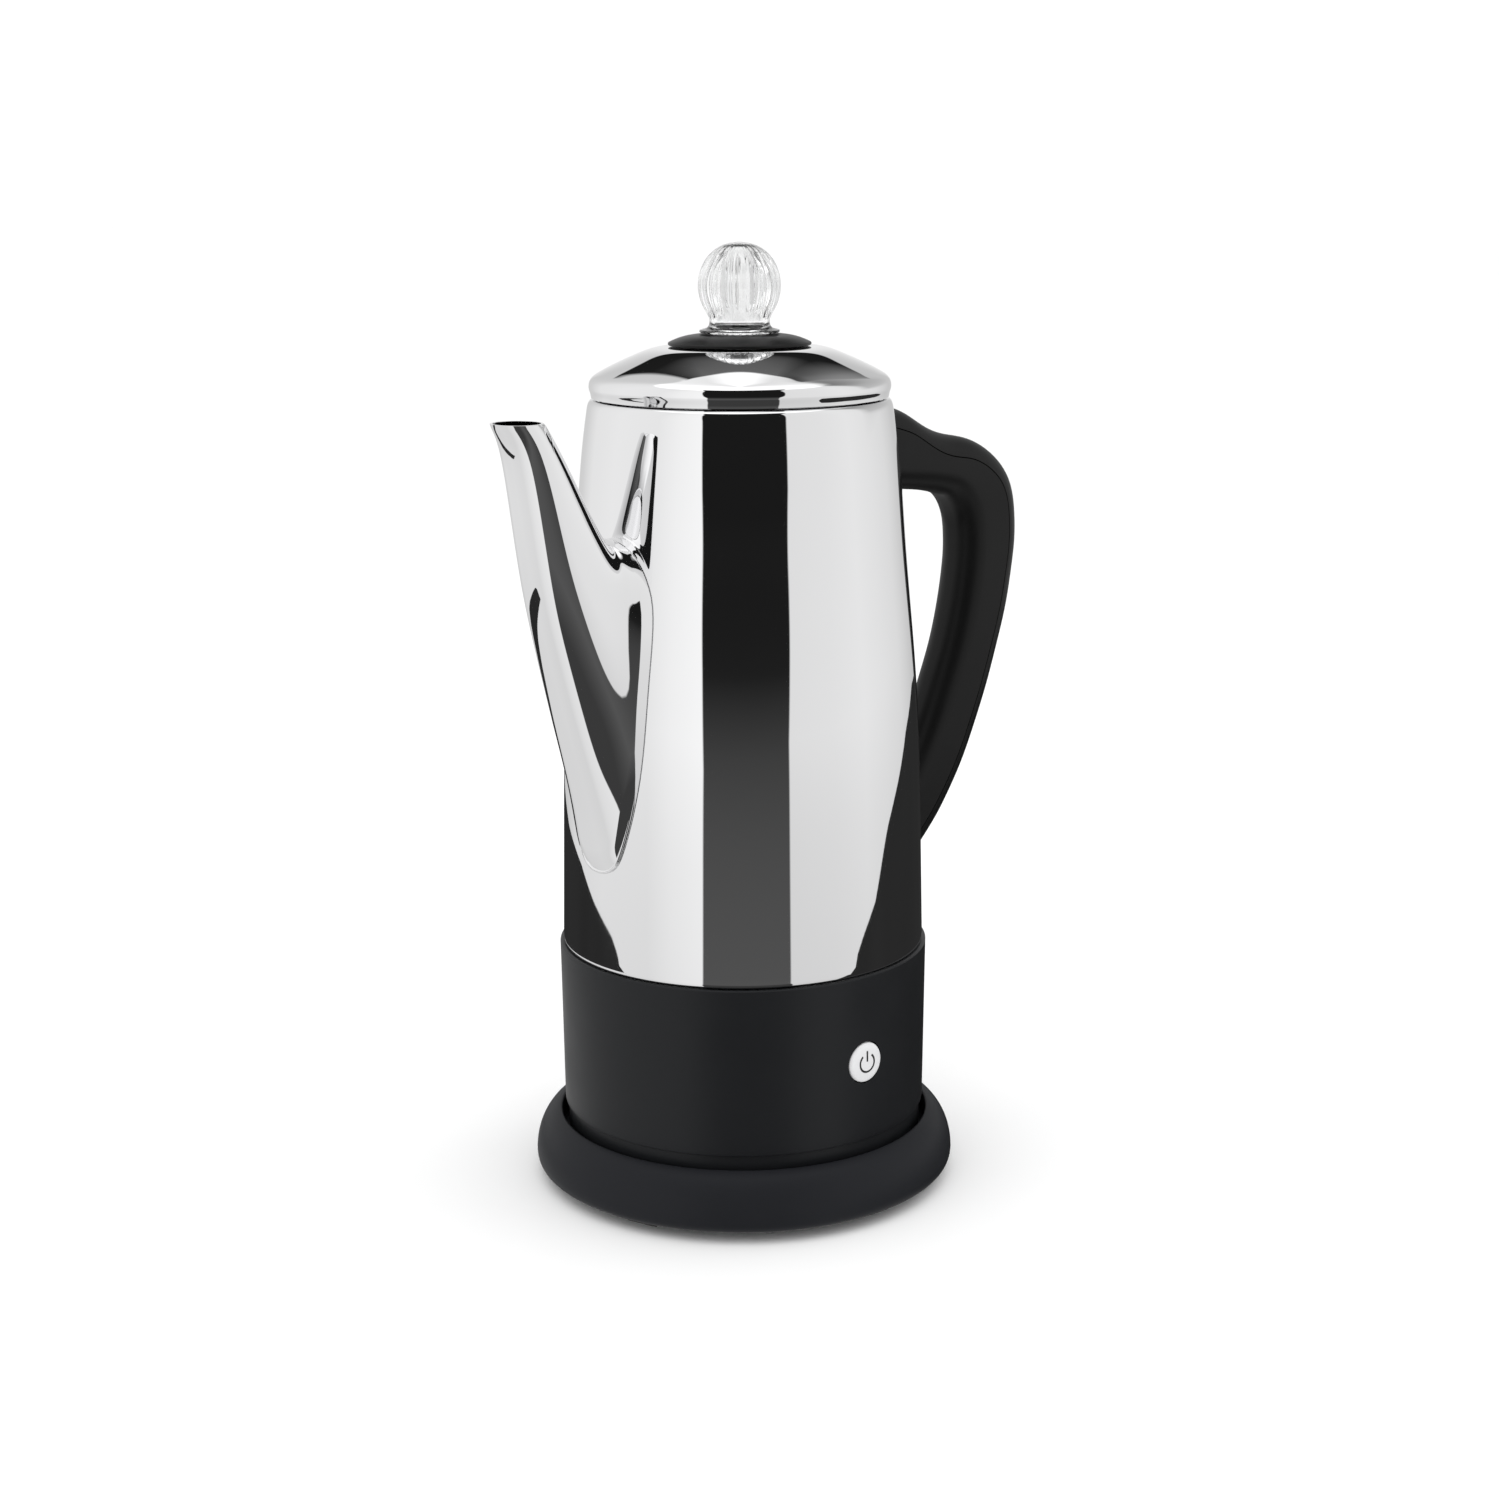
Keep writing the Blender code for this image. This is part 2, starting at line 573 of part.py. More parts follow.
def build_handle(black, steel):
    clearance = [(0.0, 70.0), (NECK_RADIUS + 1.7, 70.0)]
    clearance += [(r + GAP, z) for r, z in POT_LINE] + [(54.4, 290.0), (0.0, 290.0)]
    pot_room = turned("cutter_pot_room", clearance, None, BIG_ROUND)
    grip = lofted("handle_grip", handle_loops(COVER_DEPTH + 0.2, False), black)
    cover = lofted("handle_cover", handle_loops(COVER_DEPTH - 0.2, True), black)
    cut(grip, pot_room)
    cut(cover, pot_room)

    plate_x = 57.5
    tab_z = 254.0
    top_bracket = [
        (plate_x, 251.0), (plate_x + 1.2, 251.0), (plate_x + 1.2, tab_z), (72.0, tab_z),
        (72.0, tab_z + 1.4), (plate_x + 1.2, tab_z + 1.4), (plate_x + 1.2, 267.0), (plate_x, 267.0),
    ]
    bracket = extruded("handle_top_bracket", top_bracket, 6.0, steel)
    cut(grip, box("cutter_top_plate", (50.0, -6.6, 250.4), (plate_x + 1.8, 6.6, 267.6), None))
    cut(grip, box("cutter_top_tab", (55.0, -6.6, tab_z - 0.6), (72.6, 6.6, tab_z + 2.0), None))
    screw_place = Matrix.Translation(Vector((TOP_SCREW_X, 0.0, 0.0)) * MM)
    drill(grip, "top_screw", [(1.9, tab_z + 1.0, 263.6), (3.5, 263.6, 275.0)], screw_place)
    drill(bracket, "top_tab", [(1.9, 250.0, 258.0)], screw_place)
    top_screw = [(0.0, 253.8), (1.4, 253.8), (1.4, 264.0), (3.0, 264.0), (3.0, 266.4), (0.0, 266.4)]
    turned("handle_top_screw", top_screw, steel, SMALL_ROUND, screw_place)

    plate = box("handle_bottom_bracket", (66.6, -6.0, 104.0), (67.9, 6.0, 116.0), steel)
    cut(grip, box("cutter_bottom_plate", (60.0, -6.6, 103.4), (68.4, 6.6, 116.6), None))
    screw_place = along_radius(0.0, BOTTOM_SCREW_Z)
    drill(grip, "bottom_screw", [(1.9, 67.0, 71.2), (3.5, 71.2, 90.0)], screw_place)
    drill(plate, "bottom_plate", [(1.9, 60.0, 70.0)], screw_place)
    bottom_screw = [(0.0, 66.9), (1.4, 66.9), (1.4, 71.6), (3.0, 71.6), (3.0, 73.8), (0.0, 73.8)]
    turned("handle_bottom_screw", bottom_screw, steel, SMALL_ROUND, screw_place)


# ---------------------------------------------------------------- lid, knob, pump and basket

def build_lid(steel, black, glass):
    underside = [(28.0, 300.3), (34.6, 298.4), (46.8, 292.9), (48.1, 291.6)]
    outline = [(LID_SKIRT_RADIUS, LID_SKIRT_BOTTOM), (LID_SKIRT_RADIUS, 283.6), (49.2, 283.9)] + LID_LINE
    outline += [(LID_HOLE, LID_SEAT), (LID_HOLE, LID_SEAT - LID_WALL)] + underside
    outline += [(LID_SKIRT_RADIUS - 0.8, LID_SKIRT_BOTTOM)]
    turned("lid_shell", outline, steel, BIG_ROUND)
    washer = [
        (11.2, 301.6), (24.4, 301.6), (25.2, 302.2), (24.6, 303.0), (21.0, 304.3), (17.0, 305.2),
        (13.5, 305.6), (11.2, 305.6),
    ]
    turned("knob_washer", washer, black, MID_ROUND)
    turned("knob_retaining_nut", ring_outline(11.1, 16.0, 296.0, 299.9), black, 20)
    outer = [
        (KNOB_STEM, KNOB_STEM_BOTTOM), (KNOB_STEM, 306.0), (14.0, 306.0), (14.2, 306.6), (13.4, 307.2),
    ] + KNOB_LINE
    top = KNOB_LINE[-1][1]
    inner = [(0.0, top - KNOB_WALL)]
    for radius, height in KNOB_LINE[-3:0:-2]:
        lower_half = height <= KNOB_WIDEST[1]
        inset = KNOB_WALL if lower_half else KNOB_WALL * radius / KNOB_WIDEST[0]
        drop = 0.0 if lower_half else KNOB_WALL * (height - KNOB_WIDEST[1]) / (top - KNOB_WIDEST[1])
        inner.append((radius - inset, height - drop))
    inner.append((KNOB_STEM - KNOB_WALL, KNOB_STEM_BOTTOM))
    turned("knob", outer + inner, glass, 20)


def build_pump(aluminium, steel):
    tube = [
        (TUBE_RADIUS, TUBE_FOOT), (TUBE_RADIUS, 208.5), (6.8, 210.6), (6.8, COLLAR_TOP),
        (TUBE_RADIUS, COLLAR_TOP + 0.2), (TUBE_RADIUS, TUBE_TOP), (TUBE_BORE, TUBE_TOP),
        (TUBE_BORE, TUBE_FOOT),
    ]
    turned("perk_tube", tube, aluminium, 16)
    bell = [
        (18.3, 53.0), (18.3, 54.6), (13.0, 60.0), (7.0, 63.5), (5.7, 66.0), (5.7, 72.0), (4.8, 72.0),
        (4.8, 65.6), (6.4, 62.7), (12.4, 59.2), (17.5, 54.1), (17.5, 53.0),
    ]
    turned("pump_bell", bell, aluminium, 24)
    pin("pump_valve", 6.5, 54.6, 55.4, steel, segments=16)


def perforate(item, rings, radius, low, high):
    places = []
    for distance, count in rings:
        places += [at_polar(distance, 360.0 * (number + 0.25) / count) for number in range(count)]
    cut(item, many_pins(f"cutter_{item.name}", radius, low, high, places, 6))


def build_basket(aluminium):
    wall = 0.8
    basket = turned("coffee_basket", [
        (4.8, BASKET_BOTTOM), (BASKET_RADIUS, BASKET_BOTTOM), (BASKET_RADIUS, BASKET_TOP - 1.0),
        (46.3, BASKET_TOP), (BASKET_RADIUS - wall, BASKET_TOP),
        (BASKET_RADIUS - wall, BASKET_BOTTOM + 0.9), (5.7, BASKET_BOTTOM + 0.9), (5.7, 238.0), (4.8, 238.0),
    ], aluminium, MID_ROUND)
    perforate(basket, ((16, 6), (32, 10)), 1.5, BASKET_BOTTOM - 2, BASKET_BOTTOM + 3)
    low = SPREADER_BOTTOM
    spreader = turned("basket_lid", [
        (SPREADER_RADIUS, low), (SPREADER_RADIUS, low + 3.5), (46.0, low + 3.5), (46.0, low + 0.8),
        (12.0, low + 0.8), (7.0, low + 3.1), (5.0, low + 3.1), (5.0, low + 2.3), (6.7, low + 2.3),
        (11.6, low),
    ], aluminium, MID_ROUND)
    perforate(spreader, ((20, 6), (34, 8)), 1.2, low - 2, low + 3)


def main():
    remove_everything()
    steel = material("polished_steel", (0.78, 0.78, 0.79), 0.06, 1.0)
    black = material("black_plastic", (0.018, 0.018, 0.02), 0.42, 0.0)
    rubber = material("black_rubber", (0.02, 0.02, 0.02), 0.8, 0.0)
    silver = material("silver_button", (0.72, 0.72, 0.73), 0.3, 0.6)
    aluminium = material("bare_aluminium", (0.66, 0.67, 0.68), 0.35, 1.0)
    screw_steel = material("screw_steel", (0.55, 0.55, 0.56), 0.35, 1.0)
    glass = material("clear_glass", (0.96, 0.97, 0.97), 0.02, 0.0, 1.0)
    brass = material("brass_contact", (0.70, 0.52, 0.22), 0.3, 1.0)
    white = material("white_sleeve", (0.80, 0.79, 0.76), 0.5, 0.0)
    red = material("red_sleeve", (0.45, 0.03, 0.02), 0.5, 0.0)
    build_base(black, rubber, screw_steel, brass)
    build_pot_body(steel)
    build_spout(steel)
    build_shell(black, screw_steel)
    build_heater(aluminium, screw_steel, black, brass, white, red)
    build_button(silver)
    build_handle(black, screw_steel)
    build_lid(steel, black, glass)
    build_pump(aluminium, screw_steel)
    build_basket(aluminium)


main()
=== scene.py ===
"""Looks of the cordless coffee percolator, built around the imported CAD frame.

Outlines are (radius, height) points in millimetres in the frame's own coordinates, turned about the
pot's axis. The spout points to -X, the handle to +X and the power button to -Y.
"""

import math

import bmesh
import bpy
import numpy as np
from mathutils import Matrix, Vector


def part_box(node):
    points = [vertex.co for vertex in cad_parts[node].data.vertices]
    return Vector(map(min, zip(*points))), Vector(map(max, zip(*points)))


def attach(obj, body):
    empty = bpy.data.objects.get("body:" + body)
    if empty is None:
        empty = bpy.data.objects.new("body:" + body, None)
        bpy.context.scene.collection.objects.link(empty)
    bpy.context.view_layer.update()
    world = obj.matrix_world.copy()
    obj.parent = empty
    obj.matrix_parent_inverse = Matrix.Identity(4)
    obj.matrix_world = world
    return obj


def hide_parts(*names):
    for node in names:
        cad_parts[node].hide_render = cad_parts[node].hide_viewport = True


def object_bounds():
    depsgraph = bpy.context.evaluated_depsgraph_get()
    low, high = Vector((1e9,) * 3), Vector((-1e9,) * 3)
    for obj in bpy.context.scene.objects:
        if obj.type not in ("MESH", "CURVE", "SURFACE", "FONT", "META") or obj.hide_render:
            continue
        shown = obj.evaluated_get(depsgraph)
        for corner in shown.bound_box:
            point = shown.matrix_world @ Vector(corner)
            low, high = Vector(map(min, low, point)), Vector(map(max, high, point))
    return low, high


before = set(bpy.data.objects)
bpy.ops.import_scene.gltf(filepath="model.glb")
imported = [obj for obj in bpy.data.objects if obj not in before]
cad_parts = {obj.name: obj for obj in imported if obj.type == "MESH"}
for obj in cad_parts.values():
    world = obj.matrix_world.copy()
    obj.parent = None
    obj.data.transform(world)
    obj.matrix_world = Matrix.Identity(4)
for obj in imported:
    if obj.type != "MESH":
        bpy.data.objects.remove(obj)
CAD_BOX = [list(corner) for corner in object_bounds()]

MM = 0.001
GAP = 0.4

# Camera: where the picture was taken from, with a 36 mm wide sensor
CAMERA_PLACE = (-564.9, -673.2, 357.4)
CAMERA_TILT = 77.10
CAMERA_TURN = -40.18
CAMERA_ROLL = -0.28
CAMERA_LENS = 59.56
CAMERA_AZIMUTH = -40.0

# Levels read from the frame, in millimetres
FLOOR_LEVEL = CAD_BOX[0][2] / MM
SHELL_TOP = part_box("lower_shell")[1].z / MM
RIM_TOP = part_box("jug_body")[1].z / MM
WELL_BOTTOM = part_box("jug_body")[0].z / MM
KNOB_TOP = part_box("knob")[1].z / MM
LID_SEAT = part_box("lid_shell")[1].z / MM

FINE = 160                    # segments of the large turned pieces
MEDIUM = 96
SMALL = 40
BASE_SCREW_RING = 56.0
COVER_SCREW_RING = 59.2
FOOT_RING = 66.0
FOOT_TURN = 18.0
FLUTES = 22
FLUTE_DEPTH = 0.05            # share of the radius
BUTTON_RADIUS = 7.3
BUTTON_FACE = 66.9
BUTTON_HEIGHT = 54.5
INLET_HEIGHT = 9.0
ROOM_RADIUS = 3000.0
FENCE_RADIUS = 1000.0
FENCE_BOTTOM = {"left": -215.0, "right": -700.0}
FENCE_TOPS = {                # angle from the front and height of the dark surroundings' upper edge
    "left": [
        (-76, -215), (-83.5, -175), (-88.8, -164), (-106.7, -147), (-121.8, -128), (-143.8, -112),
        (-160, -90), (-170, -55), (-180, -20),
    ],
    "right": [
        (67, -215), (74.4, -172), (79.4, -160), (90.1, -139), (96.1, -115), (102.5, -88), (117.2, -45),
        (128.8, -5), (145.0, 20), (160, 12), (170, -2), (180, -20),
    ],
}
FENCE_STEPS = 60
FENCE_LIGHT = (0.026, 0.024, 0.030)
FLOOR_SIDE = 40000.0

POT_LINE = [
    (66.0, 88.0), (65.2, 125.0), (64.15, 162.0), (61.95, 196.0), (58.95, 230.0), (55.3, 271.0), (54.0, 280.0),
]
STEEL_WALL = 1.0
STRAINER_HOLE = 1.9           # radius of the holes that lead to the spout
STRAINER_BOTTOM = 186.0       # height of their lowest row
STRAINER_STEP = 9.0           # from row to row
STRAINER_TURN = 6.4           # degrees from hole to hole

SPOUT_FRONT = [
    (-65.7, 122.5), (-70.5, 147.0), (-77.0, 172.0), (-84.5, 200.5), (-90.3, 226.0), (-95.0, 254.5),
    (-98.9, 272.0), (-103.4, 280.4),
]
SPOUT_BACK = [(-58.2, 237.5), (-62.4, 238.4), (-66.5, 240.6), (-74.3, 254.5), (-82.7, 270.0), (-88.0, 280.4)]
SPOUT_ROOT = [                # share of the way round from the front ridge and half width there
    (0.0, 0.0), (0.075, 6.4), (0.16, 10.5), (0.306, 16.0), (0.398, 18.6), (0.55, 20.1),
    (0.668, 20.5), (0.738, 19.5), (0.795, 17.0), (0.866, 12.4), (0.933, 6.6), (1.0, 0.0),
]
MOUTH_HALF_WIDTH = 8.5
SPOUT_FULLNESS = 0.85         # above 1 the spout stays wide further up
RIDGE_SWELL = 1.0             # how far the front ridge stands out half way up
SPOUT_STATIONS = 44
SPOUT_POINTS = 80

HANDLE_SECTIONS = [           # outer point and inner point of each section, in the plane y = 0
    ((50.0, 281.5), (50.0, 246.3)), ((66.0, 277.0), (66.0, 245.8)),
    ((75.7, 273.7), (77.0, 244.9)), ((86.0, 268.2), (86.0, 243.8)),
    ((97.5, 264.3), (93.5, 242.4)), ((110.3, 261.6), (98.6, 240.7)),
    ((122.3, 255.3), (102.3, 237.2)), ((130.4, 246.6), (104.6, 233.0)),
    ((134.0, 236.0), (105.9, 227.5)), ((134.9, 223.4), (106.2, 219.0)),
    ((133.7, 211.6), (105.4, 211.0)), ((130.8, 196.0), (103.3, 199.5)),
    ((126.1, 180.5), (99.3, 184.5)), ((120.8, 165.1), (94.2, 171.5)),
    ((114.4, 149.9), (88.0, 157.0)), ((107.0, 134.8), (81.0, 143.7)),
    ((97.5, 120.2), (74.0, 133.0)), ((86.8, 107.9), (66.0, 122.4)),
    ((62.0, 83.0), (50.0, 104.0)),
]
HANDLE_HALF_WIDTH = (11.0, 9.6)
HANDLE_CORNER = 8.6
COVER_DEPTH = 8.0
HANDLE_STATIONS = 90


# ---------------------------------------------------------------- shapes

def add_mesh(name, corners, faces, finish, place=None, sharp=32):
    mesh = bpy.data.meshes.new(name)
    mesh.from_pydata([Vector(corner) * MM for corner in corners], [], faces)
    work = bmesh.new()
    work.from_mesh(mesh)
    bmesh.ops.recalc_face_normals(work, faces=work.faces)
    work.to_mesh(mesh)
    work.free()
    mesh.shade_smooth()
    mesh.set_sharp_from_angle(angle=math.radians(sharp))
    if finish:
        mesh.materials.append(finish)
    item = bpy.data.objects.new(name, mesh)
    bpy.context.scene.collection.objects.link(item)
    if place:
        item.matrix_world = place
    return item


def band(lower, upper, count):
    """Faces between two rings; either ring may be a single point on the axis."""
    if len(lower) == 1 and len(upper) == 1:
        return []
    faces = []
    for step in range(count):
        after = (step + 1) % count
        if len(lower) == 1:
            faces.append((lower[0], upper[after], upper[step]))
        elif len(upper) == 1:
            faces.append((lower[step], lower[after], upper[0]))
        else:
            faces.append((lower[step], lower[after], upper[after], upper[step]))
    return faces


def turned(name, outline, finish, segments, place=None, flute=None):
    """Turn a closed outline about Z; flute(angle, height) scales the radius where it is given."""
    corners = []
    rings = []
    for radius, height in outline:
        if radius == 0.0:
            rings.append([len(corners)])
            corners.append((0.0, 0.0, height))
            continue
        ring = []
        for step in range(segments):
            angle = 2 * math.pi * step / segments
            reach = radius * (flute(angle, height) if flute else 1.0)
            ring.append(len(corners))
            corners.append((reach * math.cos(angle), reach * math.sin(angle), height))
        rings.append(ring)
    faces = []
    for lower, upper in zip(rings, rings[1:] + rings[:1]):
        faces += band(lower, upper, segments)
    return add_mesh(name, corners, faces, finish, place)


def lofted(name, loops, finish, capped=True):
    count = len(loops[0])
    corners = [corner for loop in loops for corner in loop]
    rings = [list(range(k * count, (k + 1) * count)) for k in range(len(loops))]
    faces = []
    following = rings[1:] if capped else rings[1:] + rings[:1]
    for lower, upper in zip(rings, following):
        faces += band(lower, upper, count)
    if capped:
        faces += [tuple(reversed(rings[0])), tuple(rings[-1])]
    return add_mesh(name, corners, faces, finish)


def soften(item, width, segments=3, angle=32):
    """Round the sharp edges of a piece."""
    bevel = item.modifiers.new("soft_edges", "BEVEL")
    bevel.width = width * MM
    bevel.segments = segments
    bevel.limit_method = "ANGLE"
    bevel.angle_limit = math.radians(angle)
    bevel.harden_normals = False
    return item


def cubic(knots, values, places):
    """Natural cubic spline through values at the knots, read at the given places."""
    knots = np.array(knots, dtype=float)
    values = np.array(values, dtype=float).reshape(len(knots), -1)
    places = np.atleast_1d(np.array(places, dtype=float))
    steps = np.diff(knots)
    system = np.eye(len(knots))
    right = np.zeros_like(values)
    for i in range(1, len(knots) - 1):
        system[i, i - 1:i + 2] = steps[i - 1], 2 * (steps[i - 1] + steps[i]), steps[i]
        right[i] = 6 * ((values[i + 1] - values[i]) / steps[i] - (values[i] - values[i - 1]) / steps[i - 1])
    bend = np.linalg.solve(system, right)
    part = np.clip(np.searchsorted(knots, places) - 1, 0, len(knots) - 2)
    width = steps[part][:, None]
    a = (knots[part + 1] - places)[:, None] / width
    b = 1 - a
    curve = (a ** 3 - a) * bend[part] + (b ** 3 - b) * bend[part + 1]
    return a * values[part] + b * values[part + 1] + curve * width ** 2 / 6


def even(points, shares):
    """Points of a cubic through evenly numbered points, at shares from 0 to 1 of the way."""
    return cubic(np.arange(len(points)), points, np.array(shares) * (len(points) - 1))


def smooth_line(points, count):
    """Points of a cubic through the given ones, spaced by the length along them."""
    steps = np.linalg.norm(np.diff(np.array(points, dtype=float), axis=0), axis=1)
    knots = np.concatenate(([0.0], np.cumsum(steps)))
    return [tuple(point) for point in cubic(knots, points, np.linspace(0.0, knots[-1], count))]


def arc(centre, radius, start, end, count):
    """Points on an arc; angles in degrees from outward (+radius) towards up."""
    angles = np.radians(np.linspace(start, end, count))
    return [(centre[0] + radius * math.cos(a), centre[1] + radius * math.sin(a)) for a in angles]


def ring_outline(inner, outer, low, high):
    return [(inner, low), (outer, low), (outer, high), (inner, high)]


def at_polar(radius, angle, height=0.0):
    turn = Matrix.Rotation(math.radians(angle), 4, "Z")
    return turn @ Matrix.Translation(Vector((radius, 0.0, height)) * MM)


def along_radius(angle, height):
    turn = Matrix.Rotation(math.radians(angle), 4, "Z")
    lift = Matrix.Translation(Vector((0.0, 0.0, height)) * MM)
    return lift @ turn @ Matrix.Rotation(math.radians(90), 4, "Y")


def many_pins(name, radius, low, high, places, segments):
    """Several pins in one mesh, to cut many holes at once."""
    corners = []
    faces = []
    for place in places:
        first = len(corners)
        for height in (low, high):
            for step in range(segments):
                angle = 2 * math.pi * step / segments
                corner = Vector((radius * math.cos(angle), radius * math.sin(angle), height))
                corners.append(place @ (corner * MM) / MM)
        lower = list(range(first, first + segments))
        upper = list(range(first + segments, first + 2 * segments))
        faces += band(lower, upper, segments) + [tuple(reversed(lower)), tuple(upper)]
    return add_mesh(name, corners, faces, None)


def settle(item):
    """Turn modifiers into plain mesh."""
    graph = bpy.context.evaluated_depsgraph_get()
    mesh = bpy.data.meshes.new_from_object(item.evaluated_get(graph))
    item.modifiers.clear()
    old = item.data
    item.data = mesh
    bpy.data.meshes.remove(old)
    return item


def cut(item, tool):
    """Cut a tool out of a piece and throw the tool away."""
    change = item.modifiers.new("cut", "BOOLEAN")
    change.operation = "DIFFERENCE"
    change.solver = "EXACT"
    change.object = tool
    settle(item)
    bpy.data.objects.remove(tool, do_unlink=True)
    item.data.shade_smooth()
    item.data.set_sharp_from_angle(angle=math.radians(32))
    return item


def show(item, body, slot, *nodes):
    """Let a piece ride on its body and stand for its CAD nodes."""
    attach(item, body)
    if nodes:
        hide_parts(*nodes)
    return item


def pot_line(count, inset=0.0):
    """The steel wall's line from the lower shell up to the rim."""
    radii, heights = zip(*POT_LINE)
    places = np.linspace(heights[0], heights[-1], count)
    return [(float(r) - inset, float(z)) for r, z in zip(cubic(heights, radii, places)[:, 0], places)]


# ---------------------------------------------------------------- materials

def new_material(name):
    made = bpy.data.materials.new(name)
    made.use_nodes = True
    shader = made.node_tree.nodes["Principled BSDF"]
    return made, made.node_tree, shader


def noise(tree, scale, detail=3.0, stretch=None):
    """Noise in the frame's own space, in features per metre."""
    place = tree.nodes.new("ShaderNodeTexCoord")
    texture = tree.nodes.new("ShaderNodeTexNoise")
    texture.inputs["Scale"].default_value = scale
    texture.inputs["Detail"].default_value = detail
    source = place.outputs["Object"]
    if stretch:
        mapping = tree.nodes.new("ShaderNodeMapping")
        mapping.inputs["Scale"].default_value = stretch
        tree.links.new(source, mapping.inputs["Vector"])
        source = mapping.outputs["Vector"]
    tree.links.new(source, texture.inputs["Vector"])
    return texture.outputs["Fac"]


def spread(tree, source, low, high, socket, centre=0.5, reach=0.2):
    """Send noise to a socket as a value between low and high."""
    ramp = tree.nodes.new("ShaderNodeMapRange")
    ramp.inputs["From Min"].default_value = centre - reach
    ramp.inputs["From Max"].default_value = centre + reach
    ramp.inputs["To Min"].default_value = low
    ramp.inputs["To Max"].default_value = high
    tree.links.new(source, ramp.inputs["Value"])
    tree.links.new(ramp.outputs["Result"], socket)


def tint(tree, source, first, second, socket):
    """Send a colour between two others to a socket, by noise."""
    mix = tree.nodes.new("ShaderNodeMix")
    mix.data_type = "RGBA"
    mix.inputs["A"].default_value = (*first, 1.0)
    mix.inputs["B"].default_value = (*second, 1.0)
    tree.links.new(source, mix.inputs["Factor"])
    tree.links.new(mix.outputs["Result"], socket)


def bump(tree, shader, source, strength, depth):
    node = tree.nodes.new("ShaderNodeBump")
    node.inputs["Strength"].default_value = strength
    node.inputs["Distance"].default_value = depth * MM
    tree.links.new(source, node.inputs["Height"])
    tree.links.new(node.outputs["Normal"], shader.inputs["Normal"])


def metal(name, dark, light, rough, grain=40.0, stretch=None, depth=0.0, detail=3.0):
    made, tree, shader = new_material(name)
    shader.inputs["Metallic"].default_value = 1.0
    cloud = noise(tree, grain, detail, stretch)
    tint(tree, cloud, dark, light, shader.inputs["Base Color"])
    spread(tree, cloud, rough[0], rough[1], shader.inputs["Roughness"])
    if depth:
        bump(tree, shader, cloud, 0.6, depth)
    return made


def plastic(name, dark, light, rough, grain, depth, specular=0.5):
    """Moulded plastic: a fine spark-eroded grain with slow changes of gloss."""
    made, tree, shader = new_material(name)
    shader.inputs["Specular IOR Level"].default_value = specular
    slow = noise(tree, 30.0, 2.0)
    tint(tree, slow, dark, light, shader.inputs["Base Color"])
    spread(tree, slow, rough[0], rough[1], shader.inputs["Roughness"])
    bump(tree, shader, noise(tree, grain, 2.0), 0.5, depth)
    return made


def clear_glass():
    made, tree, shader = new_material("clear_glass")
    shader.inputs["Transmission Weight"].default_value = 1.0
    shader.inputs["IOR"].default_value = 1.47
    cloud = noise(tree, 60.0, 2.0)
    tint(tree, cloud, (0.98, 0.985, 0.985), (1.0, 1.0, 1.0), shader.inputs["Base Color"])
    spread(tree, cloud, 0.0, 0.01, shader.inputs["Roughness"])
    return made


STEEL = metal("polished_steel", (0.79, 0.79, 0.795), (0.81, 0.81, 0.815), (0.015, 0.03), 26.0)
STEEL_INSIDE = metal(
    "satin_steel", (0.60, 0.60, 0.61), (0.70, 0.70, 0.71), (0.22, 0.34), 90.0, (1.0, 1.0, 14.0), 0.01)
SCREW = metal("screw_steel", (0.45, 0.45, 0.46), (0.60, 0.60, 0.61), (0.28, 0.42), 400.0)
ALUMINIUM = metal(
    "spun_aluminium", (0.60, 0.61, 0.62), (0.72, 0.73, 0.74), (0.26, 0.40), 120.0, (1.0, 1.0, 16.0), 0.01)
BRASS = metal("brass_contact", (0.62, 0.44, 0.18), (0.74, 0.55, 0.25), (0.22, 0.36), 300.0)
BASE = plastic(
    "base_plastic", (0.0125, 0.0132, 0.0158), (0.0150, 0.0158, 0.0186), (0.42, 0.50), 2600.0, 0.014, 0.10)
SHELL = plastic(
    "shell_plastic", (0.0090, 0.0096, 0.0108), (0.0108, 0.0115, 0.0130), (0.34, 0.42), 2600.0, 0.012, 0.18)
HANDLE = plastic(
    "handle_plastic", (0.0046, 0.0046, 0.0046), (0.0060, 0.0060, 0.0060), (0.36, 0.46), 2200.0, 0.02, 0.17)
WASHER = plastic(
    "washer_plastic", (0.0056, 0.0056, 0.0056), (0.0075, 0.0075, 0.0075), (0.34, 0.42), 2600.0, 0.01, 0.16)
CONNECTOR = plastic(
    "connector_plastic", (0.014, 0.014, 0.015), (0.020, 0.020, 0.021), (0.42, 0.52), 1800.0, 0.015)
RUBBER = plastic("foot_rubber", (0.016, 0.016, 0.016), (0.024, 0.024, 0.023), (0.72, 0.86), 1500.0, 0.03)
SILVER = plastic("silver_button", (0.68, 0.68, 0.69), (0.74, 0.74, 0.75), (0.26, 0.34), 2400.0, 0.004)
ICON = plastic("icon_ink", (0.006, 0.006, 0.006), (0.010, 0.010, 0.010), (0.40, 0.50), 900.0, 0.004)
CERAMIC = plastic("white_ceramic", (0.72, 0.71, 0.67), (0.80, 0.79, 0.76), (0.40, 0.55), 1200.0, 0.01)
RED = plastic("red_sleeve", (0.36, 0.02, 0.012), (0.46, 0.03, 0.02), (0.42, 0.52), 900.0, 0.01)
GLASS = clear_glass()


# ---------------------------------------------------------------- base

def crown(inset, start_radius, count):
    """Quarter ellipse of the base's crown."""
    centre_r, centre_z = 66.5, 5.1
    width, height = 11.1 - inset, 16.3 - inset
    start = math.asin((start_radius - centre_r) / width)
    angles = np.linspace(start, math.pi / 2, count)
    return [(centre_r + width * math.sin(a), centre_z + height * math.cos(a)) for a in angles]


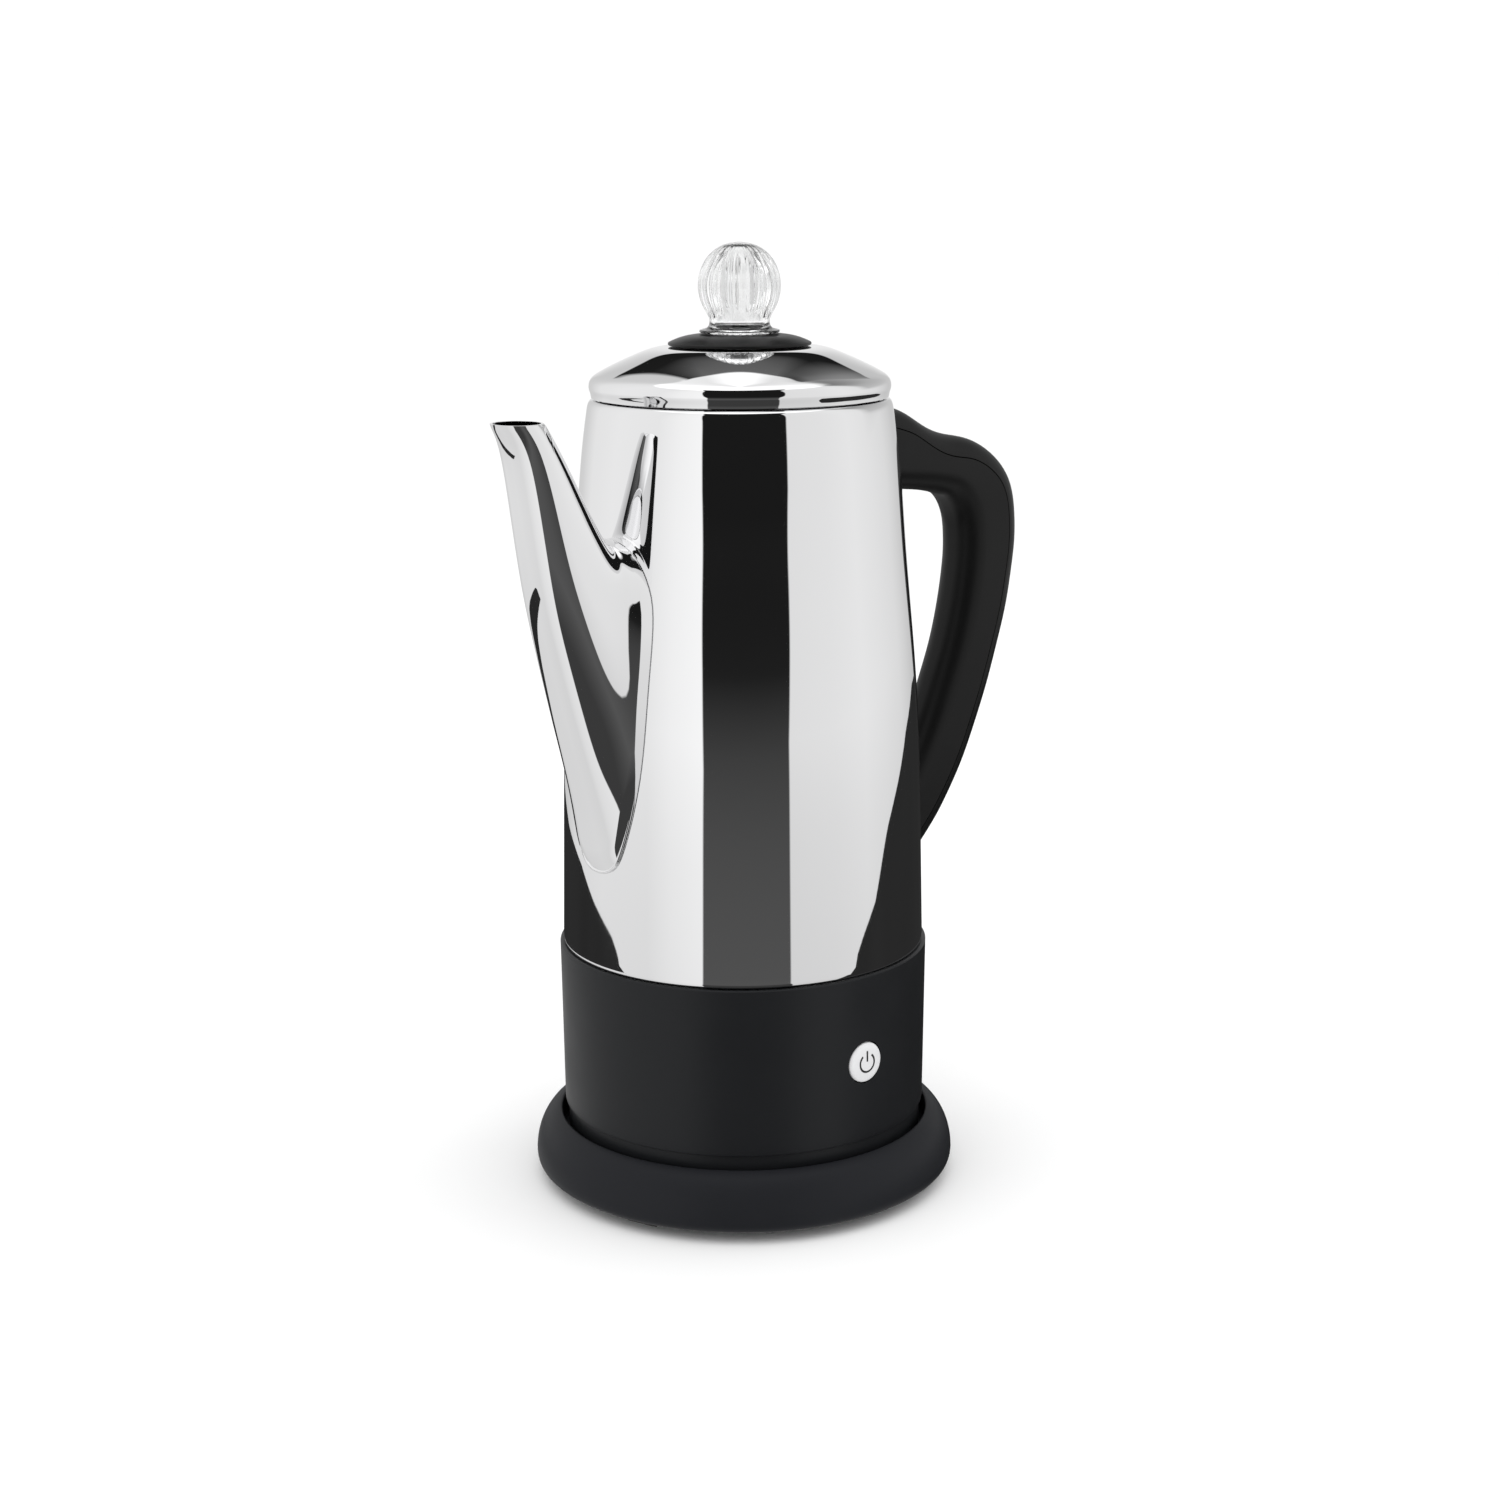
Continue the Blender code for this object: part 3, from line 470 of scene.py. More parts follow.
def build_base():
    floor = 12.0
    recess = 67.8
    wall = 2.2
    outside = crown(0.0, recess + 0.8, 40)
    edge = arc((recess + 0.8, outside[0][1] - 0.8), 0.8, 180, 95, 5)
    under = smooth_line([(77.6, 5.1), (77.25, 3.1), (76.2, 1.5), (74.6, 0.5), (72.6, 0.0), (70.8, -0.3)], 14)
    outline = [(recess - 0.6, floor), (recess, floor + 0.6)] + edge + outside + under[1:]
    outline += [(70.8, 2.4), (74.6, 2.8)] + crown(wall, recess + wall, 12)[::-1]
    outline += [(recess + wall, floor - 2.0), (13.4, floor - 2.0), (13.4, floor)]
    housing = turned("base_housing_skin", outline, BASE, FINE)
    inlet = along_radius(90, INLET_HEIGHT)
    cut(housing, turned("tool", [(0, 71), (5.2, 71), (5.2, 90), (0, 90)], None, SMALL, inlet))
    show(housing, "base", "shell_plastic", "base_housing")

    plate = turned("base_plate_skin", [
        (0.0, 0.0), (45.0, 0.0), (45.0, -0.6), (70.1, -0.6), (70.4, -0.3), (70.4, 2.0), (0.0, 2.0),
    ], SHELL, FINE)
    places = [at_polar(BASE_SCREW_RING, 120.0 * number) for number in range(3)]
    cut(plate, many_pins("tool", 3.5, -1.0, 1.2, places, SMALL))
    cut(plate, many_pins("tool", 1.9, 1.0, 3.0, places, SMALL))
    show(plate, "base", "shell_plastic", "base_bottom_plate")

    grommet = turned("cord_grommet_skin", [
        (3.3, 71.5), (4.8, 71.5), (4.8, 77.9), (6.4, 77.9), (6.3, 78.6), (5.9, 79.0), (3.5, 79.2),
        (3.3, 79.0),
    ], RUBBER, SMALL, inlet)
    show(soften(grommet, 0.15), "base", "foot_rubber", "cord_grommet")

    tower = [
        (0.0, 7.0), (17.0, 7.0), (17.0, 9.6), (13.0, 9.6), (13.0, 23.4), (12.4, 24.0), (7.6, 24.0),
        (7.6, 14.5), (5.9, 14.5), (5.9, 24.0), (2.0, 24.0), (2.0, 14.5), (0.0, 14.5),
    ]
    tower = soften(turned("base_connector_skin", tower, CONNECTOR, MEDIUM), 0.2)
    show(tower, "base", "connector_plastic", "base_connector")
    collar = soften(turned("swivel_collar_skin", ring_outline(13.5, 17.0, 12.4, 15.0), BRASS, MEDIUM), 0.25)
    show(collar, "swivel", "brass_contact", "swivel_collar")

    for number in range(4):
        foot = [
            (-5.0, -2.7), (-4.6, FLOOR_LEVEL), (2.6, FLOOR_LEVEL), (3.0, -2.7), (3.0, -0.95), (-5.0, -0.95),
        ]
        loops = [[(x, side, z) for x, z in foot] for side in (-6.0, 6.0)]
        pad = lofted(f"foot_{number + 1}_skin", loops, RUBBER)
        pad.matrix_world = at_polar(FOOT_RING, FOOT_TURN + 90.0 * number)
        show(soften(pad, 0.3), "base", "foot_rubber", f"foot_{number + 1}")
    for number, place in enumerate(places):
        make_screw(f"base_screw_{number + 1}", 3.0, (-0.4, 0.8, 8.2), place, "base")


def make_screw(node, head, levels, place, body):
    """Pan-head screw with a cross recess; levels are the head's outer face, its seat and the shank's end."""
    face, seat, end = levels
    up = 1.0 if end > seat else -1.0
    outline = [
        (0.0, face), (head * 0.72, face + 0.05 * up), (head * 0.93, face + 0.3 * up), (head, face + 0.6 * up),
        (head, seat), (1.4, seat), (1.4, end - 0.5 * up), (0.9, end), (0.0, end),
    ]
    screw = turned(f"{node}_skin", outline, SCREW, SMALL, place)
    for angle in (0, 90):
        slot = [(-head * 0.55, -0.32), (head * 0.55, -0.32), (head * 0.55, 0.32), (-head * 0.55, 0.32)]
        loops = [[(x, y, z) for x, y in slot] for z in (face - 1.0 * up, face + 0.7 * up)]
        tool = lofted("tool", loops, None)
        tool.matrix_world = place @ Matrix.Rotation(math.radians(angle), 4, "Z")
        cut(screw, tool)
    show(screw, body, "screw_steel", node)


# ---------------------------------------------------------------- jug

def build_jug_body():
    top = POT_LINE[-1]
    outer_line = pot_line(90)
    top = outer_line[-1]
    well = 19.9
    outer = [(0.0, WELL_BOTTOM)] + arc((well - 1.5, WELL_BOTTOM + 1.5), 1.5, -90, 0, 5)
    outer += arc((well + 1.4, 59.1), 1.4, 180, 90, 5) + arc((61.2, 64.0), 3.5, -90, 0, 8)
    outer += [(64.7, SHELL_TOP + 0.3), (65.8, SHELL_TOP + 0.5), (66.0, SHELL_TOP + 0.9)]
    rim = smooth_line([top, (53.62, 281.6), (52.9, 282.8), (51.8, RIM_TOP), (50.6, 283.3), (49.7, 282.6),
                       (49.4, 281.4), (49.4, 279.4)], 26)
    rim_inside = smooth_line([(50.3, 279.4), (50.4, 281.3), (51.0, 282.3), (51.9, 282.2), (52.6, 281.2),
                              (top[0] - STEEL_WALL, 279.6)], 14)
    inside = pot_line(40, STEEL_WALL)[::-1][1:]
    inner = well - STEEL_WALL
    bottom = [(64.9, SHELL_TOP + 1.2), (63.7, SHELL_TOP + 0.8)] + arc((60.9, 64.3), 2.8, 0, -90, 6)
    bottom += arc((well + 1.4, 59.1), 2.4, 90, 180, 5) + arc((inner - 1.2, WELL_BOTTOM + 2.2), 1.2, 0, -90, 4)
    bottom += [(0.0, WELL_BOTTOM + 1.0)]
    skin = turned("jug_body_skin", outer + outer_line + rim[1:] + rim_inside + inside + bottom, STEEL, FINE)
    places = [
        along_radius(180.0 + STRAINER_TURN * column, STRAINER_BOTTOM + STRAINER_STEP * row)
        for row in range(3) for column in range(-2, 3)
    ]
    cut(skin, many_pins("tool", STRAINER_HOLE, 50.0, 72.0, places, 20))
    satin_inside(skin)
    return show(skin, "jug", "polished_steel", "jug_body")


def satin_inside(skin):
    """Faces that look towards the axis or up from the floor take the inside's duller finish."""
    skin.data.materials.append(STEEL_INSIDE)
    for face in skin.data.polygons:
        outward = Vector((face.center.x, face.center.y, 0.0)).normalized()
        facing = face.normal.dot(outward)
        inside_floor = face.normal.z > 0.5 and face.center.z < 0.07
        if face.center.z < 0.278 and (facing < -0.3 or inside_floor):
            face.material_index = 1


def spout_grid():
    """Outside points of the spout: station by station from the pot to the mouth."""
    stations = np.linspace(0.0, 1.0, SPOUT_STATIONS)
    front = even(SPOUT_FRONT, stations)
    front[:, 0] -= RIDGE_SWELL * np.sin(math.pi * stations)
    back = even(SPOUT_BACK, stations)
    turns = np.linspace(0.0, 2 * math.pi, SPOUT_POINTS, endpoint=False)
    folded = np.where(turns <= math.pi, turns, 2 * math.pi - turns)
    side = np.where(turns <= math.pi, 1.0, -1.0)
    shares, widths = zip(*SPOUT_ROOT)
    root_width = cubic(shares, widths, folded / math.pi)[:, 0].clip(min=0.0)
    along = (1 - np.cos(folded)) / 2
    grid = []
    for t, f, b in zip(stations, front, back):
        narrowing = t ** SPOUT_FULLNESS
        width = (1 - narrowing) * root_width + narrowing * MOUTH_HALF_WIDTH * np.sin(folded)
        x = f[0] + (b[0] - f[0]) * along
        z = f[1] + (b[1] - f[1]) * along
        y = side * width
        if t == 0.0:
            z = SPOUT_FRONT[0][1] + (SPOUT_BACK[0][1] - SPOUT_FRONT[0][1]) * along
            x = pot_side(z, y, GAP)
        grid.append(np.stack([x, y, z], axis=1))
    return np.array(grid)


def pot_side(z, y, gap):
    """X of the pot's outside, plus a gap, at heights z and sideways places y."""
    line = np.array(pot_line(90))
    reach = np.interp(z, line[:, 1], line[:, 0]) + gap
    return -np.sqrt(reach ** 2 - y ** 2)


def build_spout():
    outer = spout_grid()
    around = np.roll(outer, -1, axis=1) - np.roll(outer, 1, axis=1)
    along = np.gradient(outer, axis=0)
    normal = np.cross(around, along)
    normal /= np.linalg.norm(normal, axis=2, keepdims=True)
    inner = outer - normal * STEEL_WALL
    inner[0, :, 0] = pot_side(inner[0, :, 2], inner[0, :, 1], GAP)
    inner[-1, :, 2] = outer[-1, :, 2]
    loops = [list(map(tuple, loop)) for loop in outer] + [list(map(tuple, loop)) for loop in inner[::-1]]
    spout = lofted("spout_skin", loops, STEEL, capped=False)
    show(soften(spout, 0.3), "jug", "polished_steel", "spout")

    bead_radius = 0.75
    bead = outer[0].copy()
    bead[:, 0] -= 0.1
    curve = bpy.data.curves.new("spout_weld", "CURVE")
    curve.dimensions = "3D"
    curve.bevel_depth = bead_radius * MM
    curve.bevel_resolution = 4
    spline = curve.splines.new("POLY")
    spline.points.add(len(bead) - 1)
    for target, point in zip(spline.points, bead):
        target.co = (*(Vector(point) * MM), 1.0)
    spline.use_cyclic_u = True
    curve.materials.append(STEEL)
    weld = bpy.data.objects.new("spout_weld", curve)
    bpy.context.scene.collection.objects.link(weld)
    show(weld, "jug", "polished_steel")


def build_shell():
    outline = [
        (67.3, SHELL_TOP - 0.4), (66.9, SHELL_TOP), (65.5, SHELL_TOP), (65.1, SHELL_TOP - 0.4), (65.1, 58.0),
        (64.4, 56.0), (64.4, 27.0), (63.2, 26.0), (63.2, 12.4), (65.4, 12.4), (65.4, 25.2), (66.1, 25.3),
        (66.5, 25.6), (66.6, 26.1),
    ]
    shares = np.linspace(0, 1, 31)[1:-1]
    side = [(66.6 + 0.7 * share, 26.1 + (SHELL_TOP - 0.4 - 26.1) * share) for share in shares]
    shell = turned("lower_shell_skin", outline + side, SHELL, FINE)
    hole = BUTTON_RADIUS + 0.4
    place = along_radius(-90, BUTTON_HEIGHT)
    cut(shell, turned("tool", [(0, 60), (hole, 60), (hole, 75), (0, 75)], None, 64, place))
    show(shell, "jug", "shell_plastic", "lower_shell")

    cover = turned("bottom_cover_skin", ring_outline(19.9, 62.8, 14.0, 16.2), SHELL, FINE)
    places = [at_polar(COVER_SCREW_RING, 90.0 + 120.0 * number) for number in range(3)]
    cut(cover, many_pins("tool", 1.9, 10.0, 18.0, places, SMALL))
    show(soften(cover, 0.2), "jug", "shell_plastic", "bottom_cover")
    for number, place in enumerate(places):
        make_screw(f"cover_screw_{number + 1}", 2.6, (12.9, 13.6, 23.6), place, "jug")

    connector = [
        (19.5, 15.6), (19.5, 16.65), (23.0, 16.65), (23.0, 19.0), (19.5, 19.0), (19.5, 27.5), (0.0, 27.5),
        (0.0, 16.0), (1.4, 16.4), (1.4, 24.7), (6.25, 24.7), (6.25, 17.0), (7.25, 17.0), (7.25, 24.7),
        (14.2, 24.7), (14.2, 15.6),
    ]
    piece = soften(turned("jug_connector_skin", connector, CONNECTOR, MEDIUM), 0.15)
    show(piece, "jug", "connector_plastic", "jug_connector")


def build_button():
    place = Matrix.Translation(Vector((0.0, -BUTTON_FACE, BUTTON_HEIGHT)) * MM)
    place = place @ Matrix.Rotation(math.radians(90), 4, "X")
    face = smooth_line([
        (0.0, 0.9), (3.4, 0.84), (5.6, 0.66), (6.6, 0.38), (7.1, 0.0), (BUTTON_RADIUS, -0.5),
    ], 18)
    outline = face + [(BUTTON_RADIUS, -1.3), (3.0, -1.3), (3.0, -3.6), (0.0, -3.6)]
    outline[0] = (0.0, 0.9)
    button = turned("power_button_skin", outline, SILVER, MEDIUM, place)
    show(button, "button", "silver_button", "power_button")

    ring_radius = 3.3
    angles = np.radians(np.linspace(38, 322, 48))
    ring = [(ring_radius * math.sin(a), ring_radius * math.cos(a)) for a in angles]
    bar = [(0.0, y) for y in np.linspace(0.5, 4.3, 9)]
    reach, level = zip(*face)
    for name, points in (("icon_ring", ring), ("icon_bar", bar)):
        raised = [(x, y, float(np.interp(math.hypot(x, y), reach, level)) + 0.01) for x, y in points]
        make_stroke(name, raised, 0.38, place)


def make_stroke(name, points, width, place):
    """Flat printed stroke with round ends, a hair proud of the button."""
    curve = bpy.data.curves.new(name, "CURVE")
    curve.dimensions = "3D"
    curve.bevel_depth = width * MM
    curve.bevel_resolution = 3
    curve.use_fill_caps = True
    spline = curve.splines.new("POLY")
    spline.points.add(len(points) - 1)
    for target, (x, y, z) in zip(spline.points, points):
        target.co = (x * MM, y * MM, z * MM / 0.25, 1.0)
    curve.materials.append(ICON)
    item = bpy.data.objects.new(name, curve)
    bpy.context.scene.collection.objects.link(item)
    item.matrix_world = place @ Matrix.Diagonal((1.0, 1.0, 0.25, 1.0))
    show(item, "button", "connector_plastic")


# ---------------------------------------------------------------- handle

def half_section(depth, half_width, seam, towards_back):
    corner = HANDLE_CORNER
    if towards_back:
        start = math.asin((corner - seam) / corner)
        angles = np.linspace(start, math.pi / 2, 14)
        return [(corner - corner * math.sin(a), half_width - corner + corner * math.cos(a)) for a in angles]
    angles = np.linspace(0.0, math.pi / 2, 14)
    side = [(seam + share * (depth - corner - seam), half_width) for share in (0.0, 0.35, 0.7)]
    return side + [
        (depth - corner + corner * math.sin(a), half_width - corner + corner * math.cos(a)) for a in angles
    ]


def handle_loops(seam, towards_back):
    shares = np.linspace(0.0, 1.0, HANDLE_STATIONS)
    outers = even([outer for outer, _ in HANDLE_SECTIONS], shares)
    inners = even([inner for _, inner in HANDLE_SECTIONS], shares)
    loops = []
    for share, outer, inner in zip(shares, outers, inners):
        outer = Vector((outer[0], 0.0, outer[1]))
        inner = Vector((inner[0], 0.0, inner[1]))
        depth = (inner - outer).length
        way = (inner - outer) / depth
        half_width = HANDLE_HALF_WIDTH[0] + (HANDLE_HALF_WIDTH[1] - HANDLE_HALF_WIDTH[0]) * share
        half = half_section(depth, half_width, seam, towards_back)
        right = [outer + way * u + Vector((0.0, v, 0.0)) for u, v in half]
        left = [outer + way * u - Vector((0.0, v, 0.0)) for u, v in reversed(half)]
        loops.append(right + left)
    return loops


def build_handle():
    for name, seam, back, node in (("handle_grip_skin", COVER_DEPTH + 0.2, False, "handle_grip"),
                                   ("handle_cover_skin", COVER_DEPTH - 0.2, True, "handle_cover")):
        piece = lofted(name, handle_loops(seam, back), HANDLE)
        room = [(0.0, 70.0), (66.4, 70.0)] + [(r + GAP, z) for r, z in pot_line(60)]
        room += [(54.4, 290.0), (0.0, 290.0)]
        cut(piece, turned("tool", room, None, FINE))
        if not back:
            cut(piece, handle_pockets())
        show(soften(piece, 0.35, 3, 50), "jug", "handle_plastic", node)
    make_screw("handle_top_screw", 3.0, (266.4, 264.0, 253.8), at_polar(66.0, 0.0), "jug")
    make_screw("handle_bottom_screw", 3.0, (73.8, 71.6, 66.9), along_radius(0.0, 110.0), "jug")


def handle_pockets():
    """Room in the grip for its two brackets and screws, as one cutter."""
    boxes = [((50.0, -6.6, 250.4), (59.3, 6.6, 267.6)), ((60.0, -6.6, 103.4), (68.4, 6.6, 116.6))]
    corners = []
    faces = []
    for low, high in boxes:
        first = len(corners)
        for z in (low[2], high[2]):
            corners += [
                (low[0], low[1], z), (high[0], low[1], z), (high[0], high[1], z), (low[0], high[1], z),
            ]
        lower = [first, first + 1, first + 2, first + 3]
        upper = [corner + 4 for corner in lower]
        faces += band(lower, upper, 4) + [tuple(reversed(lower)), tuple(upper)]
    return add_mesh("tool", corners, faces, None)


# ---------------------------------------------------------------- lid and knob

def build_lid():
    bead = smooth_line([
        (52.4, 283.9), (52.7, 285.4), (53.15, 287.0), (53.15, 288.3), (52.75, 289.7), (51.6, 291.1),
        (49.6, 292.4),
    ], 24)
    dome = smooth_line([(49.6, 292.4), (47.3, 293.65), (44.9, 294.85), (41.9, 296.25), (38.5, 297.75),
                        (34.9, 299.25), (31.0, 300.55), (28.0, 301.1), (25.5, LID_SEAT)], 34)
    outline = [(48.9, 270.0), (48.9, 283.3)] + arc((49.5, 283.3), 0.6, 180, 90, 4) + bead + dome[1:]
    outline += [
        (11.6, LID_SEAT), (11.6, LID_SEAT - 0.9), (28.0, LID_SEAT - 0.9), (34.6, 298.4), (41.6, 295.5),
        (46.8, 292.9), (48.1, 291.4), (48.1, 270.0),
    ]
    show(turned("lid_skin", outline, STEEL, FINE), "lid", "polished_steel", "lid_shell")

    washer = [(11.2, 301.6), (24.2, 301.6)] + arc((24.6, 302.2), 0.6, -90, 60, 8)
    washer += smooth_line([(24.7, 302.85), (21.5, 304.15), (17.5, 305.1), (13.6, 305.55)], 16)[1:]
    washer += [(11.6, 305.6), (11.2, 305.3)]
    show(turned("knob_washer_skin", washer, WASHER, MEDIUM), "lid", "washer_plastic", "knob_washer")
    nut = soften(turned("knob_nut_skin", ring_outline(11.1, 16.0, 296.0, 299.9), CONNECTOR, MEDIUM), 0.3)
    show(nut, "lid", "connector_plastic", "knob_retaining_nut")
    build_knob()


def build_knob():
    ball = [
        (10.95, 308.2), (10.5, 309.6), (10.8, 311.2), (11.9, 313.2), (13.3, 316.0), (14.2, 319.0),
        (14.5, 322.0), (14.2, 325.2), (13.3, 328.2), (11.7, 331.2), (9.3, 333.8), (6.2, 335.8),
        (3.0, 336.7), (0.6, KNOB_TOP),
    ]
    line = smooth_line(ball, 60)
    inner_line = smooth_line([
        (9.0, 308.2), (8.9, 309.6), (9.2, 311.4), (10.3, 313.6), (11.6, 316.3), (12.4, 319.1), (12.7, 322.0),
        (12.4, 324.9), (11.5, 327.8), (9.9, 330.5), (7.7, 332.8), (5.0, 334.5), (2.4, 335.2), (0.5, 335.4),
    ], 44)
    outer = [(10.6, 290.0), (10.6, 305.6), (11.0, 306.0), (13.8, 306.0), (14.2, 306.4), (14.0, 306.9),
             (12.6, 307.3), (11.4, 307.7)] + line + [(0.0, KNOB_TOP)]
    inner = [(0.0, 335.4)] + inner_line[::-1] + [(9.0, 290.0)]

    def flute(angle, height):
        rise = min(1.0, max(0.0, (height - 310.5) / 5.0)) * min(1.0, max(0.0, (336.4 - height) / 5.0))
        valley = 1.0 - abs(math.sin(FLUTES * angle / 2))
        return 1.0 - FLUTE_DEPTH * rise * valley ** 1.6

    knob = turned("knob_skin", outer + inner, GLASS, FLUTES * 12, flute=flute)
    show(knob, "lid", "clear_glass", "knob")


# ---------------------------------------------------------------- pump and basket

def build_pump():
    tube = [
        (4.2, 58.0), (4.2, 208.5), (6.8, 210.6), (6.8, 211.6), (4.2, 211.8), (4.2, 302.7), (3.9, 303.0),
        (3.4, 303.0), (3.4, 58.0),
    ]
    show(turned("perk_tube_skin", tube, ALUMINIUM, 64), "pump", "bare_aluminium", "perk_tube")
    bell = [
        (18.3, 53.0), (18.3, 54.6), (13.0, 60.0), (7.0, 63.5), (5.7, 66.0), (5.7, 72.0), (4.8, 72.0),
        (4.8, 65.6), (6.4, 62.7), (12.4, 59.2), (17.5, 54.1), (17.5, 53.0),
    ]
    bell = soften(turned("pump_bell_skin", bell, ALUMINIUM, MEDIUM), 0.2, 3, 15)
    show(bell, "pump", "bare_aluminium", "pump_bell")
    disc = [(0, 54.6), (6.5, 54.6), (6.5, 55.4), (0, 55.4)]
    valve = soften(turned("pump_valve_skin", disc, SCREW, MEDIUM), 0.2)
    show(valve, "valve", "screw_steel", "pump_valve")


def rings_of(counts, first, step):
    places = []
    for number, count in enumerate(counts):
        distance = first + step * number
        places += [at_polar(distance, 360.0 * (k + 0.25) / count) for k in range(count)]
    return places


def build_basket():
    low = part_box("coffee_basket")[0].z / MM
    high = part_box("coffee_basket")[1].z / MM
    wall = [
        (4.8, low), (44.0, low), (45.0, low + 0.4), (45.4, low + 1.4), (45.4, high - 1.6), (45.7, high - 0.7),
        (46.3, high - 0.2), (46.2, high), (45.0, high), (44.6, high - 0.4), (44.6, low + 1.9),
        (43.6, low + 0.9), (5.7, low + 0.9), (5.7, 237.7), (5.4, 238.0), (4.8, 238.0),
    ]
    basket = turned("coffee_basket_skin", wall, ALUMINIUM, FINE)
    places = rings_of((10, 15, 20, 25, 30, 35, 40), 9.0, 5.2)
    cut(basket, many_pins("tool", 0.8, low - 2, low + 3, places, 10))
    show(basket, "basket", "bare_aluminium", "coffee_basket")
    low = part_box("basket_lid")[0].z / MM
    plate = [
        (46.8, low), (46.8, low + 3.3), (46.6, low + 3.5), (46.0, low + 3.5), (46.0, low + 1.2),
        (45.6, low + 0.8), (12.0, low + 0.8), (7.0, low + 3.1), (5.0, low + 3.1), (5.0, low + 2.3),
        (6.7, low + 2.3), (11.6, low),
    ]
    spreader = turned("basket_lid_skin", plate, ALUMINIUM, FINE)
    cut(spreader, many_pins("tool", 0.8, low - 2, low + 3, rings_of((14, 20, 26, 32), 18.0, 7.0), 10))
    show(spreader, "spreader", "bare_aluminium", "basket_lid")


def dress_inner_nodes():
    """CAD nodes that keep their own shape inside the jug take a finish."""
    finishes = {
        "heating_plate": ALUMINIUM, "heating_element": SCREW, "thermostat": CERAMIC, "thermal_fuse": BRASS,
        "switch_module": CONNECTOR, "lead_line": RED, "lead_neutral": CONNECTOR, "lead_earth": CERAMIC,
        "handle_top_bracket": SCREW, "handle_bottom_bracket": SCREW,
    }
    for node, finish in finishes.items():
        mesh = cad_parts[node].data
        mesh.materials.clear()
        mesh.materials.append(finish)


# ---------------------------------------------------------------- studio

def node_math(tree, operation, first, second=None, clamp=False):
    """Arithmetic on node outputs and plain numbers."""
    node = tree.nodes.new("ShaderNodeMath")
    node.operation = operation
    node.use_clamp = clamp
    for socket, source in zip(node.inputs, (first, second)):
        if source is None:
            continue
        if isinstance(source, (int, float)):
            socket.default_value = source
        else:
            tree.links.new(source, socket)
    return node.outputs[0]


def node_curve(tree, source, stops):
    """A value that follows (input, value) stops with straight lines between them."""
    places = [place for place, _ in stops]
    values = [value for _, value in stops]
    low, high = min(values), max(values)
    share = tree.nodes.new("ShaderNodeMapRange")
    share.inputs["From Min"].default_value = places[0]
    share.inputs["From Max"].default_value = places[-1]
    tree.links.new(source, share.inputs["Value"])
    ramp = tree.nodes.new("ShaderNodeValToRGB")
    elements = ramp.color_ramp.elements
    for place in places[1:-1]:
        elements.new((place - places[0]) / (places[-1] - places[0]))
    for element, value in zip(elements, values):
        level = (value - low) / (high - low)
        element.color = (level, level, level, 1.0)
    tree.links.new(share.outputs["Result"], ramp.inputs["Fac"])
    return node_math(tree, "ADD", node_math(tree, "MULTIPLY", ramp.outputs["Color"], high - low), low)


def node_step(tree, source, edge, softness):
    """0 below the edge and 1 above it, with a soft change."""
    distance = node_math(tree, "SUBTRACT", source, edge)
    scaled = node_math(tree, "DIVIDE", distance, softness)
    return node_math(tree, "ADD", scaled, 0.5, clamp=True)


def node_between(tree, source, low, high, softness):
    above = node_step(tree, source, low, softness)
    below = node_math(tree, "SUBTRACT", 1.0, node_step(tree, source, high, softness))
    return node_math(tree, "MULTIPLY", above, below)


def node_blend(tree, mask, first, second):
    """First where the mask is 0 and second where it is 1."""
    node = tree.nodes.new("ShaderNodeMix")
    node.data_type = "FLOAT"
    for name, source in (("Factor", mask), ("A", first), ("B", second)):
        socket = node.inputs[name]
        if isinstance(source, float):
            socket.default_value = source
        else:
            tree.links.new(source, socket)
    return node.outputs["Result"]


